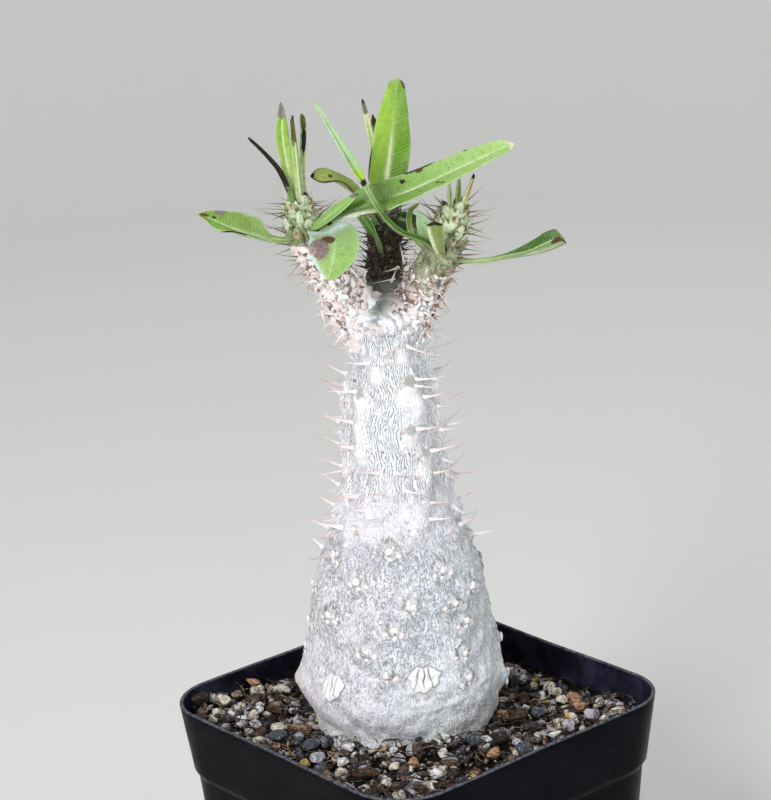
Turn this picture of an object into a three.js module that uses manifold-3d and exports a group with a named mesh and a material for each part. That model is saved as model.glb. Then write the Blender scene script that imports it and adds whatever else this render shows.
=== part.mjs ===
// A potted Pachypodium gracilius: a swollen silver trunk that forks into three short spiny
// branches with narrow leaves, rooted in grit in a square black nursery pot.
// Millimetres, +Z up. The origin is the centre of the pot's foot, on the surface it stands on.
// The plant has its own axes, turned about Z so that its front looks out over one pot corner:
// x runs across the plant, y away from its front and z up.

import * as THREE from 'three';
import { mergeVertices } from 'three/addons/utils/BufferGeometryUtils.js';
import Module from 'manifold-3d';

const wasm = await Module();
wasm.setup();

// Pot
const POT_HEIGHT = 89;
const RIM_SIDE = 102;
const RIM_CORNER = 16;
const BAND_HEIGHT = 20;
const BAND_FOOT_SIDE = 98;
const BODY_TOP_SIDE = 96.4;
const FOOT_SIDE = 84.5;
const FOOT_CORNER = 13;
const STEP_ROUNDING = 0.8;
const WALL = 1.1;
const FLOOR_TOP = 3.8;
const PANEL_SIDE = 70;
const PANEL_CORNER = 10;
const PANEL_RISE = 2;
const DRAIN_RADIUS = 4.5;
const DRAIN_SPACING = 24;
const DRAIN_SIDES = 14;
const CORNER_STEPS = 5;

// Clearance between pieces that touch on the real plant
const GAP = 0.35;

// Soil
const SOIL_LEVEL = 81.3;
const SOIL_SWELL = 0.5;
const STONE_COUNT = 70;
const PEBBLE_COUNT = 30;
const CHIP_COUNT = 12;
const STONE_RADIUS = [1.1, 1.7];
const STONE_SUNK = 0.1;
const PEBBLE_RADIUS = [1.9, 2.9];
const PEBBLE_SUNK = 0.5;
const STONE_WIDTH = [0.75, 1];
const STONE_DEPTH = [0.6, 0.85];
const CHIP_SIZE = [7.5, 3, 1.6];
const CHIP_SHARE = [0.6, 1.1];
const CHIP_TILT = 0.6;
// How far the rings of the soil's top are drawn in towards the middle
const SOIL_RINGS = [1, 0.85, 0.7, 0.55, 0.4];

// Plant
const PLANT_TURN = THREE.MathUtils.degToRad(50.16);
const TRUNK_SIDES = 36;
const TRUNK_RINGS = 42;
const BRANCH_SIDES = 12;
const BRANCH_RINGS = 9;
const GOLDEN_ANGLE = THREE.MathUtils.degToRad(137.5);
const SEEDS = { neck: 11, crown: 23, soil: 37 };

// The trunk from the root tip to the fork, as [height, centre across, radius]
const TRUNK = [
  [48, -3.4, 5], [52, -3.4, 9], [60, -3.4, 13.5], [68, -3.4, 16.5], [75.4, -3.6, 19.5],
  [81.3, -2.9, 23.2], [87.3, -3.3, 24.9], [94.8, -3.8, 27.5], [99.2, -3.5, 26.8],
  [105.1, -3.1, 25.3], [116.8, -2.9, 23.9], [122.6, -2.5, 22.9], [128.4, -2.6, 21.1],
  [134.1, -2.3, 19.1], [139.9, -2.6, 17], [145.6, -2.6, 15.2], [151.3, -2.6, 13.7],
  [156.9, -2.4, 12.7], [168.1, -2.7, 12.3], [173.7, -2.4, 12.1], [179.2, -2.2, 11],
  [184.7, -2.1, 9.7], [188.9, -2.4, 9.5], [193, -2.7, 10.3], [197, -3, 10.8], [200.5, -3, 9],
  [202.5, -3, 4.5],
];

// The three branches, as [x, y, z, radius] from inside the trunk to the growing tip
const BRANCHES = {
  left: [
    [-4.5, -1, 188, 6.6], [-8.6, -1.5, 196, 7.1], [-13.2, -2.5, 203.5, 7], [-17.3, -3, 210.5, 5.8],
    [-21.1, -4, 217.5, 4.9], [-22.9, -4, 224, 4.4], [-23.1, -3.6, 230, 2.9],
  ],
  middle: [
    [-2.6, 3, 190, 7], [-2.6, 8, 198, 6.2], [-2.3, 11.2, 205, 4.9], [-1.8, 12.7, 211, 4.3],
    [-1, 13.3, 217, 4.2], [-0.6, 13.4, 222.5, 2.8],
  ],
  right: [
    [0.6, -1, 188, 5.8], [3.6, -1.6, 196, 5.9], [7.2, -2.2, 203.5, 5.8], [10.8, -3, 210, 5.3],
    [14, -3, 216, 4.8], [15.7, -3, 221, 4.4], [16.7, -3, 226, 3],
  ],
};

// Spined tubercles on the neck, as [degrees round from the front, height]
const NECK_SITES = [
  [19, 190], [26, 181], [34, 176], [23, 168], [39, 161], [36, 155], [25, 148], [20, 144],
  [-76, 181], [-79, 175], [-41, 170], [-42, 163], [-69, 156], [-36, 150], [-8, 157],
  [-19, 147], [-51, 141], [78, 192], [82, 186], [86, 179], [78, 172], [84, 165], [82, 157],
  [88, 152], [84, 143], [61, 139], [-84, 193], [-84, 167], [-82, 161], [-80, 150],
  [-84, 144], [-80, 138], [-84, 132], [-42, 178], [14, 180], [2, 152], [-20, 186],
  [118, 190], [152, 186], [-118, 187], [-152, 183], [126, 179], [168, 178], [-124, 176],
  [140, 171], [-160, 170], [-112, 168], [112, 164], [176, 162], [-136, 161], [148, 155],
  [-168, 153], [-112, 153], [118, 150], [160, 147], [-140, 145], [130, 141], [-118, 138],
  [-170, 139], [100, 134], [150, 133],
];

// Old leaf scars on the swollen base, as [degrees round from the front, height]
const SCAR_SITES = [
  [-60, 135], [-8, 138], [-32, 130], [-51, 120], [-86, 124], [-78, 115], [31, 132], [56, 125],
  [7, 124], [-5, 118], [35, 123], [45, 117], [-22, 112], [-10, 106], [39, 109], [13, 104],
  [-45, 101], [-84, 97], [88, 105], [86, 95], [108, 126], [140, 120], [176, 126], [-120, 128],
  [-150, 117], [120, 111], [158, 106], [-112, 109], [-166, 101], [118, 97], [-134, 94],
];

const NECK_TUBERCLE = { height: 1.7, across: 3, along: 2.2 };
const SCAR_BUMP = { height: 1, across: 4.5, along: 4 };

const NECK_SPINE = { length: 8.6, radius: 0.72, splay: 38, rise: 0.16, root: 3.4 };
const CROWN_SPINE = { length: 7.4, radius: 0.5, splay: 34, rise: 0.3, root: 2.2 };
const CROWN_TUBERCLE = { radius: 1.8, height: 3.4, sunk: 1.6, sides: 4 };
const SPINE_SIDES = 3;
const SPINE_VARIATION = { splay: 8, rise: 0.16, length: [0.82, 1.12] };
const TUBERCLES_ON_BRANCH = { left: 21, middle: 15, right: 21 };
const TUBERCLE_LEAN = 0.35;
// The stretch of each branch that bears tubercles
const CROWN_STRETCH = [0.3, 0.97];
const LEAF_CLEARANCE = 0.9;

// Leaves. Each knot is [x, y, z, half width, fold], with the fold in degrees that each half
// of the blade is raised. The upper face looks along face.
const BLADE_THICKNESS = 0.7;
const STEPS_PER_KNOT = 2;
const CLOUD_STEPS_PER_KNOT = 8;
const CLOUD_COLUMNS = 8;
const LEAVES = [
  {
    name: 'leaf_left_side', face: [0, -0.64, 0.77], columns: 4, curl: 22,
    knots: [
      [-20, -4.5, 220.3, 0.9, 45], [-26.5, -7, 220.3, 1.1, 50], [-30.8, -8, 220.9, 2.2, 40],
      [-34.4, -9, 221.8, 4.9, 26], [-38.4, -10, 223.5, 5, 18], [-42.8, -10, 225.8, 3.9, 18],
      [-46.2, -10, 227.8, 2, 22], [-49, -10, 229.2, 0.6, 30],
    ],
  },
  {
    name: 'leaf_left_dry', face: [-0.5, -0.5, 0.6], columns: 2, curl: 0,
    knots: [
      [-23.9, -4.6, 227, 0.8, 50], [-26.6, -6.4, 236.6, 1.1, 55], [-29.8, -7, 241.9, 1, 58],
      [-34.8, -8, 247.8, 0.6, 58],
    ],
  },
  {
    name: 'leaf_left_tall', face: [0.2, -1, 0.1], columns: 2, curl: 0,
    knots: [
      [-24.6, -3, 227, 0.8, 30], [-25.7, -3, 238.1, 1.5, 24], [-26.5, -3, 246.6, 1.9, 20],
      [-26.3, -2.6, 251, 1.2, 20], [-26.2, -2.2, 255.3, 0.4, 20],
    ],
  },
  {
    name: 'leaf_left_folded', face: [-0.7, -1, 0], columns: 2, curl: 0,
    knots: [
      [-22.7, -4.4, 227, 0.7, 40], [-23.1, -4.4, 240.6, 1, 48], [-23.5, -3.6, 252, 0.6, 48],
    ],
  },
  {
    name: 'leaf_left_browned', face: [0.5, -1, 0], columns: 2, curl: 0,
    knots: [
      [-21.9, -1.6, 227, 0.7, 40], [-21.9, -0.8, 238, 0.8, 42], [-21.3, 0, 246.6, 1, 38],
      [-21.2, 0, 251.6, 0.8, 42],
    ],
  },
  {
    name: 'leaf_left_raised', face: [-0.35, -0.7, 0.6], columns: 2, curl: 0,
    knots: [
      [-21.4, -5.2, 223.6, 0.9, 30], [-18.9, -9, 225.2, 1.5, 24], [-14.8, -12.6, 228, 2.2, 18],
      [-10.8, -15, 231.4, 1.9, 18], [-6.9, -16, 234.8, 0.5, 24],
    ],
  },
  {
    name: 'leaf_long', face: [-0.1, -0.64, 0.77], columns: 4, curl: 12,
    knots: [
      [-19.2, -5, 221.5, 0.8, 40], [-15, -8, 224.7, 0.9, 40], [-11.8, -10, 226.7, 2.4, 34],
      [-7.1, -11.8, 228.9, 4.6, 22], [-1.1, -12.4, 230.7, 5.2, 18], [5.8, -12.2, 232.8, 4.8, 18],
      [13.9, -11, 235.8, 4.2, 18], [23, -9.6, 239.1, 3.7, 16], [29.3, -8.5, 241.4, 2.4, 14],
      [32.6, -8, 242.4, 0.8, 12],
    ],
  },
  {
    name: 'leaf_front', face: [0, -0.3, 1], columns: 4, curl: 10,
    knots: [
      [-20.3, -6.5, 219.8, 0.9, 40], [-19.2, -12, 222.3, 2.2, 30], [-16.5, -18.5, 224.4, 5, 14],
      [-14.5, -24.5, 224.4, 6.1, 6], [-13.6, -28.5, 221.9, 5.8, 4], [-14.5, -30.8, 218.4, 4.2, 6],
      [-16.4, -32, 215.6, 1, 10],
    ],
  },
  {
    name: 'leaf_middle_broad', face: [0.1, -1, 0.1], columns: 4, curl: 8,
    knots: [
      [-1.2, 12.2, 220, 0.9, 40], [-1.3, 11, 225.9, 2.2, 28], [-0.5, 10.5, 230.8, 4.6, 12],
      [1, 11, 238.6, 5.2, 10], [2.3, 12, 246.3, 4.8, 10], [3.5, 13.2, 253.2, 3.1, 10],
      [4.1, 14, 256.7, 1.5, 12],
    ],
  },
  {
    name: 'leaf_middle_wavy', face: [0, -0.5, 0.85], columns: 2, curl: 0,
    knots: [
      [-2.6, 12, 217, 0.8, 45], [-5.2, 8.2, 223.2, 1, 36], [-8.8, 5.2, 229, 1.7, 26],
      [-13, 3.6, 232.6, 2, 30], [-17, 3, 234.4, 1.7, 24], [-20, 3, 234.7, 0.5, 30],
    ],
  },
  {
    name: 'leaf_middle_pale', face: [0.3, -1, 0.2], columns: 2, curl: 0,
    knots: [
      [-1.4, 14, 220.5, 0.7, 30], [-3, 15.8, 235, 1.1, 30], [-4.3, 17, 244, 0.9, 26],
      [-5.5, 18, 251.2, 0.4, 20],
    ],
  },
  {
    name: 'leaf_middle_yellow', face: [0.3, -1, 0.2], columns: 2, curl: 0,
    knots: [
      [0.2, 14.6, 220.5, 0.7, 30], [-0.8, 18, 233, 1.2, 30], [-2.1, 20.5, 246.4, 0.5, 24],
    ],
  },
  {
    name: 'leaf_middle_low', face: [-0.5, -0.5, 0.7], columns: 2, curl: 0,
    knots: [
      [-2.4, 10.4, 210, 0.8, 40], [-3.9, 6, 217, 1.3, 30], [-7, 4.6, 222.6, 1.5, 24],
      [-9.4, 4, 225.8, 0.6, 24],
    ],
  },
  {
    name: 'leaf_middle_shaded', face: [0.2, -0.9, 0.4], columns: 4, curl: 8,
    knots: [
      [-0.6, 12.2, 219, 0.9, 36], [3.4, 11.4, 219.6, 2.4, 20], [6.4, 10.8, 216.8, 3.2, 12],
      [9.4, 11.2, 211.8, 0.8, 12],
    ],
  },
  {
    name: 'leaf_right_bent', face: [0.3, -0.8, 0.5], columns: 2, curl: 0,
    knots: [
      [12.4, -5, 214.6, 0.8, 45], [7.4, -12, 219.8, 0.9, 52], [1.7, -17, 223.7, 0.9, 55],
      [-2.8, -20, 230, 0.9, 50], [-6.4, -19.5, 237, 1.4, 40], [-11.6, -18, 246.7, 1.1, 35],
      [-17.7, -17, 258.3, 0.4, 30],
    ],
  },
  {
    name: 'leaf_right_side', face: [0, -0.2, 1], columns: 4, curl: 0,
    knots: [
      [14.2, -3, 213.3, 0.9, 40], [18.5, -4, 211.5, 0.9, 45], [24.2, -4, 211.2, 0.9, 48],
      [30.5, -3, 211.8, 1.7, 50], [36.2, -3, 212.2, 3.8, 50], [40.4, -3, 212.7, 4.8, 50],
      [43.6, -3, 213.6, 3.6, 50],
    ],
  },
  {
    name: 'leaf_right_cut', face: [-0.1, -1, 0.3], columns: 2, curl: 0,
    knots: [
      [12.9, -5, 212.8, 0.9, 30], [11.9, -10.4, 217.8, 1.6, 20], [11.4, -13, 221.3, 2, 16],
      [11.1, -15.2, 225, 2.2, 14],
    ],
  },
  {
    name: 'leaf_right_curled', face: [0, -1, 0.2], columns: 2, curl: 0,
    knots: [
      [11, -2.6, 213, 0.7, 40], [6.4, -4, 217.6, 0.8, 40], [4.9, -4.2, 221.5, 0.9, 40],
      [5.2, -4.4, 225.5, 0.8, 40], [7.6, -4.6, 227.6, 0.4, 40],
    ],
  },
  {
    name: 'leaf_right_pale', face: [0.2, -1, 0.2], columns: 2, curl: 0,
    knots: [
      [12, -3.4, 213.6, 0.9, 30], [9.2, -7.4, 219.6, 1.8, 18], [8, -8.6, 223.4, 1.7, 16],
      [7.2, -9, 226.4, 0.5, 16],
    ],
  },
  {
    name: 'leaf_right_young_a', face: [0, -1, 0.1], columns: 2, curl: 0,
    knots: [[15.8, -4, 223.5, 0.7, 40], [15.7, -4.4, 229, 0.9, 44], [15.7, -4.4, 232.4, 0.4, 40]],
  },
  {
    name: 'leaf_right_young_b', face: [0, -1, 0.1], columns: 2, curl: 0,
    knots: [[17.2, -2, 223.5, 0.7, 40], [17.9, -1.6, 229, 0.9, 44], [18.3, -1.4, 233, 0.4, 40]],
  },
  {
    name: 'leaf_right_brown', face: [0.3, -1, 0.1], columns: 2, curl: 0,
    knots: [
      [17.4, -4.4, 222.8, 0.7, 40], [19.9, -5, 229.4, 0.9, 44], [22.1, -4.6, 234.4, 0.35, 40],
    ],
  },
];

const COLOURS = {
  pot: { color: 0x15171c, roughness: 0.45, metalness: 0 },
  soil: { color: 0x5d4b3f, roughness: 0.95, metalness: 0 },
  caudex: { color: 0xcfc8c4, roughness: 0.7, metalness: 0 },
  leaf: { color: 0x79a94a, roughness: 0.5, metalness: 0 },
};

// A small repeatable random number source
function seeded(seed) {
  let state = seed;
  return () => {
    state = (state + 0x6d2b79f5) | 0;
    let t = Math.imul(state ^ (state >>> 15), 1 | state);
    t = (t + Math.imul(t ^ (t >>> 7), 61 | t)) ^ t;
    return ((t ^ (t >>> 14)) >>> 0) / 4294967296;
  };
}

function between([low, high], share) {
  return low + (high - low) * share;
}

// A closed three.js geometry as a solid that can be joined and cut
function solidOf(geometry) {
  const bare = geometry.clone();
  bare.deleteAttribute('normal');
  bare.deleteAttribute('uv');
  const merged = mergeVertices(bare);
  return new wasm.Manifold(new wasm.Mesh({
    numProp: 3,
    vertProperties: new Float32Array(merged.attributes.position.array),
    triVerts: new Uint32Array(merged.index.array),
  }));
}

function geometryOf(solid) {
  const mesh = solid.getMesh();
  const geometry = new THREE.BufferGeometry();
  geometry.setAttribute('position', new THREE.BufferAttribute(mesh.vertProperties, 3));
  geometry.setIndex(new THREE.BufferAttribute(mesh.triVerts, 1));
  geometry.computeVertexNormals();
  return geometry;
}

function geometryFrom(points, faces) {
  const geometry = new THREE.BufferGeometry();
  geometry.setFromPoints(points);
  geometry.setIndex(faces);
  return geometry;
}

// A closed surface through rings of equal count, wound the same way, with a fan over each end
function loft(rings) {
  const count = rings[0].length;
  const points = rings.flat();
  const faces = [];
  for (let row = 0; row < rings.length - 1; row += 1) {
    for (let i = 0; i < count; i += 1) {
      const a = row * count + i;
      const b = row * count + ((i + 1) % count);
      faces.push(a, b, b + count, a, b + count, a + count);
    }
  }
  const middleOf = (ring) => ring.reduce((sum, p) => sum.add(p), new THREE.Vector3())
    .divideScalar(count);
  const top = (rings.length - 1) * count;
  const first = points.push(middleOf(rings[0])) - 1;
  const last = points.push(middleOf(rings[rings.length - 1])) - 1;
  for (let i = 0; i < count; i += 1) {
    const next = (i + 1) % count;
    faces.push(first, next, i, last, top + i, top + next);
  }
  return geometryFrom(points, faces);
}

// One ring of a square with round corners, anticlockwise seen from above
function squareRing(side, corner, z) {
  const ring = [];
  for (let quarter = 0; quarter < 4; quarter += 1) {
    const start = (quarter * Math.PI) / 2;
    const centre = new THREE.Vector2(1, 1).multiplyScalar(side / 2 - corner)
      .rotateAround(new THREE.Vector2(), start);
    for (let step = 0; step <= CORNER_STEPS; step += 1) {
      const angle = start + (step / CORNER_STEPS) * (Math.PI / 2);
      ring.push(new THREE.Vector3(
        centre.x + corner * Math.cos(angle), centre.y + corner * Math.sin(angle), z,
      ));
    }
  }
  return ring;
}

// The pot's outside as [height, side, corner] from foot to rim
function potProfile() {
  const bandFoot = POT_HEIGHT - BAND_HEIGHT;
  return [
    [0, FOOT_SIDE, FOOT_CORNER],
    [bandFoot - STEP_ROUNDING, BODY_TOP_SIDE, RIM_CORNER],
    [bandFoot, BAND_FOOT_SIDE - STEP_ROUNDING, RIM_CORNER],
    [bandFoot + STEP_ROUNDING, BAND_FOOT_SIDE, RIM_CORNER],
    [POT_HEIGHT, RIM_SIDE, RIM_CORNER],
  ];
}

// Side and corner of the pot's outside at a height, moved inwards by an inset
function potSection(height, inset) {
  const profile = potProfile();
  const upper = Math.max(1, profile.findIndex(([z]) => z >= height));
  const [low, high] = [profile[upper - 1], profile[upper]];
  const share = (height - low[0]) / (high[0] - low[0]);
  const side = between([low[1], high[1]], share) - 2 * inset;
  const corner = between([low[2], high[2]], share) - inset;
  return squareRing(side, corner, height);
}

// The space inside the pot, shrunk by a clearance, from its floor to a height
function potInside(clearance, top) {
  const floor = FLOOR_TOP + clearance;
  const breaks = potProfile().map(([z]) => z).filter((z) => z > floor && z < top);
  const inset = WALL + clearance;
  const rings = [floor, ...breaks, Math.min(top, POT_HEIGHT)].map((z) => potSection(z, inset));
  if (top > POT_HEIGHT) {
    rings.push(rings[rings.length - 1].map((p) => p.clone().setZ(top)));
  }
  return rings;
}

function makePot() {
  const outside = loft(potProfile().map(([z, side, corner]) => squareRing(side, corner, z)));
  const panel = loft([-1, PANEL_RISE].map((z) => squareRing(PANEL_SIDE, PANEL_CORNER, z)));
  const hole = new THREE.CylinderGeometry(DRAIN_RADIUS, DRAIN_RADIUS, 4 * FLOOR_TOP, DRAIN_SIDES)
    .rotateX(Math.PI / 2);
  const spots = [[0, 0], [1, 1], [1, -1], [-1, 1], [-1, -1]];
  const holes = spots.map(([x, y]) => solidOf(
    hole.clone().translate(x * DRAIN_SPACING, y * DRAIN_SPACING, 0),
  ));
  const shell = solidOf(outside).subtract(solidOf(loft(potInside(0, POT_HEIGHT + 1))));
  return shell.subtract(solidOf(panel)).subtract(wasm.Manifold.union(holes));
}

// Catmull-Rom values through evenly spaced knots
function smooth(values) {
  const line = new THREE.SplineCurve(values.map((value, i) => new THREE.Vector2(i, value)));
  return (t) => line.getPoint(t).y;
}

const TRUNK_LINE = new THREE.CatmullRomCurve3(
  TRUNK.map(([z, centre, radius]) => new THREE.Vector3(centre, radius, z)),
  false, 'centripetal',
).getSpacedPoints(TRUNK_RINGS);

function trunkAt(height) {
  const upper = Math.max(1, TRUNK_LINE.findIndex((p) => p.z >= height));
  const [low, high] = [TRUNK_LINE[upper - 1], TRUNK_LINE[upper]];
  const share = (height - low.z) / (high.z - low.z);
  return low.clone().lerp(high, share);
}

// Distance straight out from the trunk's smooth skin, summed over the tubercles and scars
function trunkRelief(angle, height, radius) {
  const rise = (sites, bump) => sites.reduce((sum, [degrees, z]) => {
    const turn = Math.atan2(
      Math.sin(angle - THREE.MathUtils.degToRad(degrees)),
      Math.cos(angle - THREE.MathUtils.degToRad(degrees)),
    );
    const across = (turn * radius) / bump.across;
    const along = (height - z) / bump.along;
    return sum + bump.height * Math.exp(-across * across - along * along);
  }, 0);
  return rise(NECK_SITES, NECK_TUBERCLE) + rise(SCAR_SITES, SCAR_BUMP);
}

// The trunk, with its skin moved outwards by an offset. Angle 0 is the front.
function makeTrunk(offset) {
  const rings = TRUNK_LINE.map((knot, row) => {
    const ring = [];
    for (let i = 0; i < TRUNK_SIDES; i += 1) {
      const angle = (i / TRUNK_SIDES) * 2 * Math.PI;
      const reach = knot.y + offset + trunkRelief(angle, knot.z, knot.y);
      const drop = row === 0 ? offset : 0;
      ring.push(new THREE.Vector3(
        knot.x + reach * Math.sin(angle), -reach * Math.cos(angle), knot.z - drop,
      ));
    }
    return ring;
  });
  return solidOf(loft(rings));
}

// A point on a branch's axis, with its radius, its direction and two directions across it
function branchAt(knots, t) {
  const axis = new THREE.CatmullRomCurve3(
    knots.map(([x, y, z]) => new THREE.Vector3(x, y, z)), false, 'catmullrom',
  );
  const along = axis.getTangent(t);
  const right = new THREE.Vector3(0, 1, 0).cross(along).normalize();
  const away = along.clone().cross(right);
  const radius = smooth(knots.map((knot) => knot[3]))(t);
  return { centre: axis.getPoint(t), radius, along, right, away };
}

function makeBranch(knots, offset) {
  const rings = [];
  for (let row = 0; row <= BRANCH_RINGS; row += 1) {
    const { centre, radius, along, right, away } = branchAt(knots, row / BRANCH_RINGS);
    centre.addScaledVector(along, row === BRANCH_RINGS ? offset : 0);
    const ring = [];
    for (let i = 0; i < BRANCH_SIDES; i += 1) {
      const angle = (i / BRANCH_SIDES) * 2 * Math.PI;
      ring.push(centre.clone()
        .addScaledVector(right, (radius + offset) * Math.cos(angle))
        .addScaledVector(away, (radius + offset) * Math.sin(angle)));
    }
    rings.push(ring);
  }
  return solidOf(loft(rings));
}

function makeCore(offset) {
  const branches = Object.values(BRANCHES).map((knots) => makeBranch(knots, offset));
  return wasm.Manifold.union([makeTrunk(offset), ...branches]);
}

// A blade's stations: its midline, the direction of its upper face and its section sizes
function bladeStations(leaf, steps) {
  const axis = new THREE.CatmullRomCurve3(
    leaf.knots.map(([x, y, z]) => new THREE.Vector3(x, y, z)), false, 'catmullrom',
  );
  const half = smooth(leaf.knots.map((knot) => knot[3]));
  const fold = smooth(leaf.knots.map((knot) => knot[4]));
  const stations = [];
  for (let row = 0; row <= steps; row += 1) {
    const t = row / steps;
    const along = axis.getTangent(t);
    const face = new THREE.Vector3(...leaf.face);
    face.addScaledVector(along, -face.dot(along)).normalize();
    const across = face.clone().cross(along);
    stations.push({ centre: axis.getPoint(t), face, across, half: half(t), fold: fold(t) });
  }
  return stations;
}

// One half of a station's section, from the rib to the edge, as [point, direction of its face].
// The slope grows from the fold at the rib by the curl at the edge.
function bladeHalf(station, leaf, columns, hand) {
  const point = station.centre.clone();
  const result = [];
  for (let column = 1; column <= columns; column += 1) {
    const share = (column - 0.5) / columns;
    const slope = THREE.MathUtils.degToRad(station.fold + leaf.curl * share);
    const step = station.half / columns;
    point.addScaledVector(station.across, hand * step * Math.cos(slope));
    point.addScaledVector(station.face, step * Math.sin(slope));
    const facing = station.face.clone().multiplyScalar(Math.cos(slope))
      .addScaledVector(station.across, -hand * Math.sin(slope));
    result.push([point.clone(), facing]);
  }
  return result;
}

// A section from edge to edge: the left half reversed, the rib, then the right half
function bladeSection(station, leaf, columns) {
  const mitre = 1 / Math.cos(THREE.MathUtils.degToRad(station.fold));
  const rib = [station.centre.clone(), station.face.clone().multiplyScalar(mitre)];
  const left = bladeHalf(station, leaf, columns / 2, -1).reverse();
  const right = bladeHalf(station, leaf, columns / 2, 1);
  return [...left, rib, ...right];
}

// A leaf as a thin closed blade, split into triangles alike on both faces
function makeBlade(leaf) {
  const steps = STEPS_PER_KNOT * (leaf.knots.length - 1);
  const columns = leaf.columns;
  const points = [];
  for (const station of bladeStations(leaf, steps)) {
    for (const side of [0.5, -0.5]) {
      for (const [point, facing] of bladeSection(station, leaf, columns)) {
        points.push(point.clone().addScaledVector(facing, side * BLADE_THICKNESS));
      }
    }
  }
  const width = columns + 1;
  const upper = (row, column) => row * 2 * width + column;
  const lower = (row, column) => upper(row, column) + width;
  const faces = [];
  const quad = (a, b, c, d) => faces.push(a, b, c, a, c, d);
  for (let row = 0; row < steps; row += 1) {
    const next = row + 1;
    for (let k = 0; k < columns; k += 1) {
      faces.push(upper(row, k), upper(next, k), upper(next, k + 1));
      faces.push(upper(row, k), upper(next, k + 1), upper(row, k + 1));
      faces.push(lower(row, k), lower(next, k + 1), lower(next, k));
      faces.push(lower(row, k), lower(row, k + 1), lower(next, k + 1));
    }
    quad(upper(row, 0), lower(row, 0), lower(next, 0), upper(next, 0));
    quad(upper(row, columns), upper(next, columns), lower(next, columns), lower(row, columns));
  }
  for (let k = 0; k < columns; k += 1) {
    quad(upper(0, k), upper(0, k + 1), lower(0, k + 1), lower(0, k));
    quad(upper(steps, k), lower(steps, k), lower(steps, k + 1), upper(steps, k + 1));
  }
  return solidOf(geometryFrom(points, faces));
}

// Points spread over every blade, close enough together to tell what would touch one
function leafCloud() {
  return LEAVES.flatMap((leaf) => (
    bladeStations(leaf, CLOUD_STEPS_PER_KNOT * (leaf.knots.length - 1)).flatMap((station) => (
      bladeSection(station, leaf, CLOUD_COLUMNS).map(([point]) => point)
    ))
  ));
}

const LEAF_CLOUD = leafCloud();

// True where a rod of some radius would pass every blade at a distance
function clearOfLeaves(start, direction, length, radius) {
  const room = radius + LEAF_CLEARANCE;
  const samples = [0, 0.25, 0.5, 0.75, 1].map(
    (share) => start.clone().addScaledVector(direction, share * length),
  );
  return samples.every((sample) => (
    LEAF_CLOUD.every((point) => point.distanceTo(sample) > room)
  ));
}

// A cone standing on a point, with its root sunk below it
function cone(foot, direction, radius, length, root, sides) {
  const turn = new THREE.Quaternion().setFromUnitVectors(new THREE.Vector3(0, 1, 0), direction);
  const centre = foot.clone().addScaledVector(direction, (length - root) / 2);
  return new THREE.ConeGeometry(radius, length + root, sides)
    .applyQuaternion(turn)
    .translate(centre.x, centre.y, centre.z);
}

// The two spines of a tubercle, splayed to either side of the way it points
function spinePair(foot, outward, sideways, kind, random) {
  const solids = [];
  const vary = SPINE_VARIATION;
  for (const hand of [-1, 1]) {
    const splay = THREE.MathUtils.degToRad(kind.splay + vary.splay * (random() - 0.5));
    const direction = outward.clone().multiplyScalar(Math.cos(splay))
      .addScaledVector(sideways, hand * Math.sin(splay));
    direction.z += kind.rise + vary.rise * (random() - 0.5);
    direction.normalize();
    const length = kind.length * between(vary.length, random());
    if (clearOfLeaves(foot, direction, length, kind.radius)) {
      solids.push(solidOf(cone(foot, direction, kind.radius, length, kind.root, SPINE_SIDES)));
    }
  }
  return solids;
}

function neckSpines() {
  const random = seeded(SEEDS.neck);
  return NECK_SITES.flatMap(([degrees, height]) => {
    const angle = THREE.MathUtils.degToRad(degrees);
    const outward = new THREE.Vector3(Math.sin(angle), -Math.cos(angle), 0);
    const sideways = new THREE.Vector3(Math.cos(angle), Math.sin(angle), 0);
    const knot = trunkAt(height);
    const foot = new THREE.Vector3(knot.x, 0, height)
      .addScaledVector(outward, knot.y + NECK_TUBERCLE.height / 2);
    return spinePair(foot, outward, sideways, NECK_SPINE, random);
  });
}

// Tubercles in a spiral round each branch, each with its pair of spines
function crownGrowth() {
  const random = seeded(SEEDS.crown);
  return Object.entries(BRANCHES).flatMap(([name, knots]) => {
    const count = TUBERCLES_ON_BRANCH[name];
    const solids = [];
    for (let i = 0; i < count; i += 1) {
      const t = between(CROWN_STRETCH, i / (count - 1));
      const { centre, radius, along, right, away } = branchAt(knots, t);
      const angle = i * GOLDEN_ANGLE;
      const outward = right.clone().multiplyScalar(Math.cos(angle))
        .addScaledVector(away, Math.sin(angle));
      const sideways = along.clone().cross(outward);
      const foot = centre.clone().addScaledVector(outward, radius);
      const lean = outward.clone().addScaledVector(along, TUBERCLE_LEAN).normalize();
      const size = CROWN_TUBERCLE;
      const rise = size.height - size.sunk;
      if (clearOfLeaves(foot, lean, rise, size.radius)) {
        solids.push(solidOf(cone(foot, lean, size.radius, rise, size.sunk, size.sides)));
      }
      solids.push(...spinePair(foot, lean, sideways, CROWN_SPINE, random));
    }
    return solids;
  });
}

function makeCaudex() {
  return wasm.Manifold.union([makeCore(0), ...neckSpines(), ...crownGrowth()]);
}

function soilHeight(x, y) {
  return SOIL_LEVEL + SOIL_SWELL * Math.sin(x / 9) * Math.cos(y / 11 + 0.6);
}

// The filled space, with rings drawn in towards the middle to give its top a gentle swell
function soilBed() {
  const rings = potInside(GAP, SOIL_LEVEL);
  const edge = rings.pop();
  for (const share of SOIL_RINGS) {
    rings.push(edge.map((p) => {
      const x = p.x * share;
      const y = p.y * share;
      return new THREE.Vector3(x, y, soilHeight(x, y));
    }));
  }
  return solidOf(loft(rings));
}

function tumble(geometry, random) {
  const turn = new THREE.Euler(
    Math.PI * random(), Math.PI * random(), 2 * Math.PI * random(),
  );
  return geometry.applyQuaternion(new THREE.Quaternion().setFromEuler(turn));
}

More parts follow.
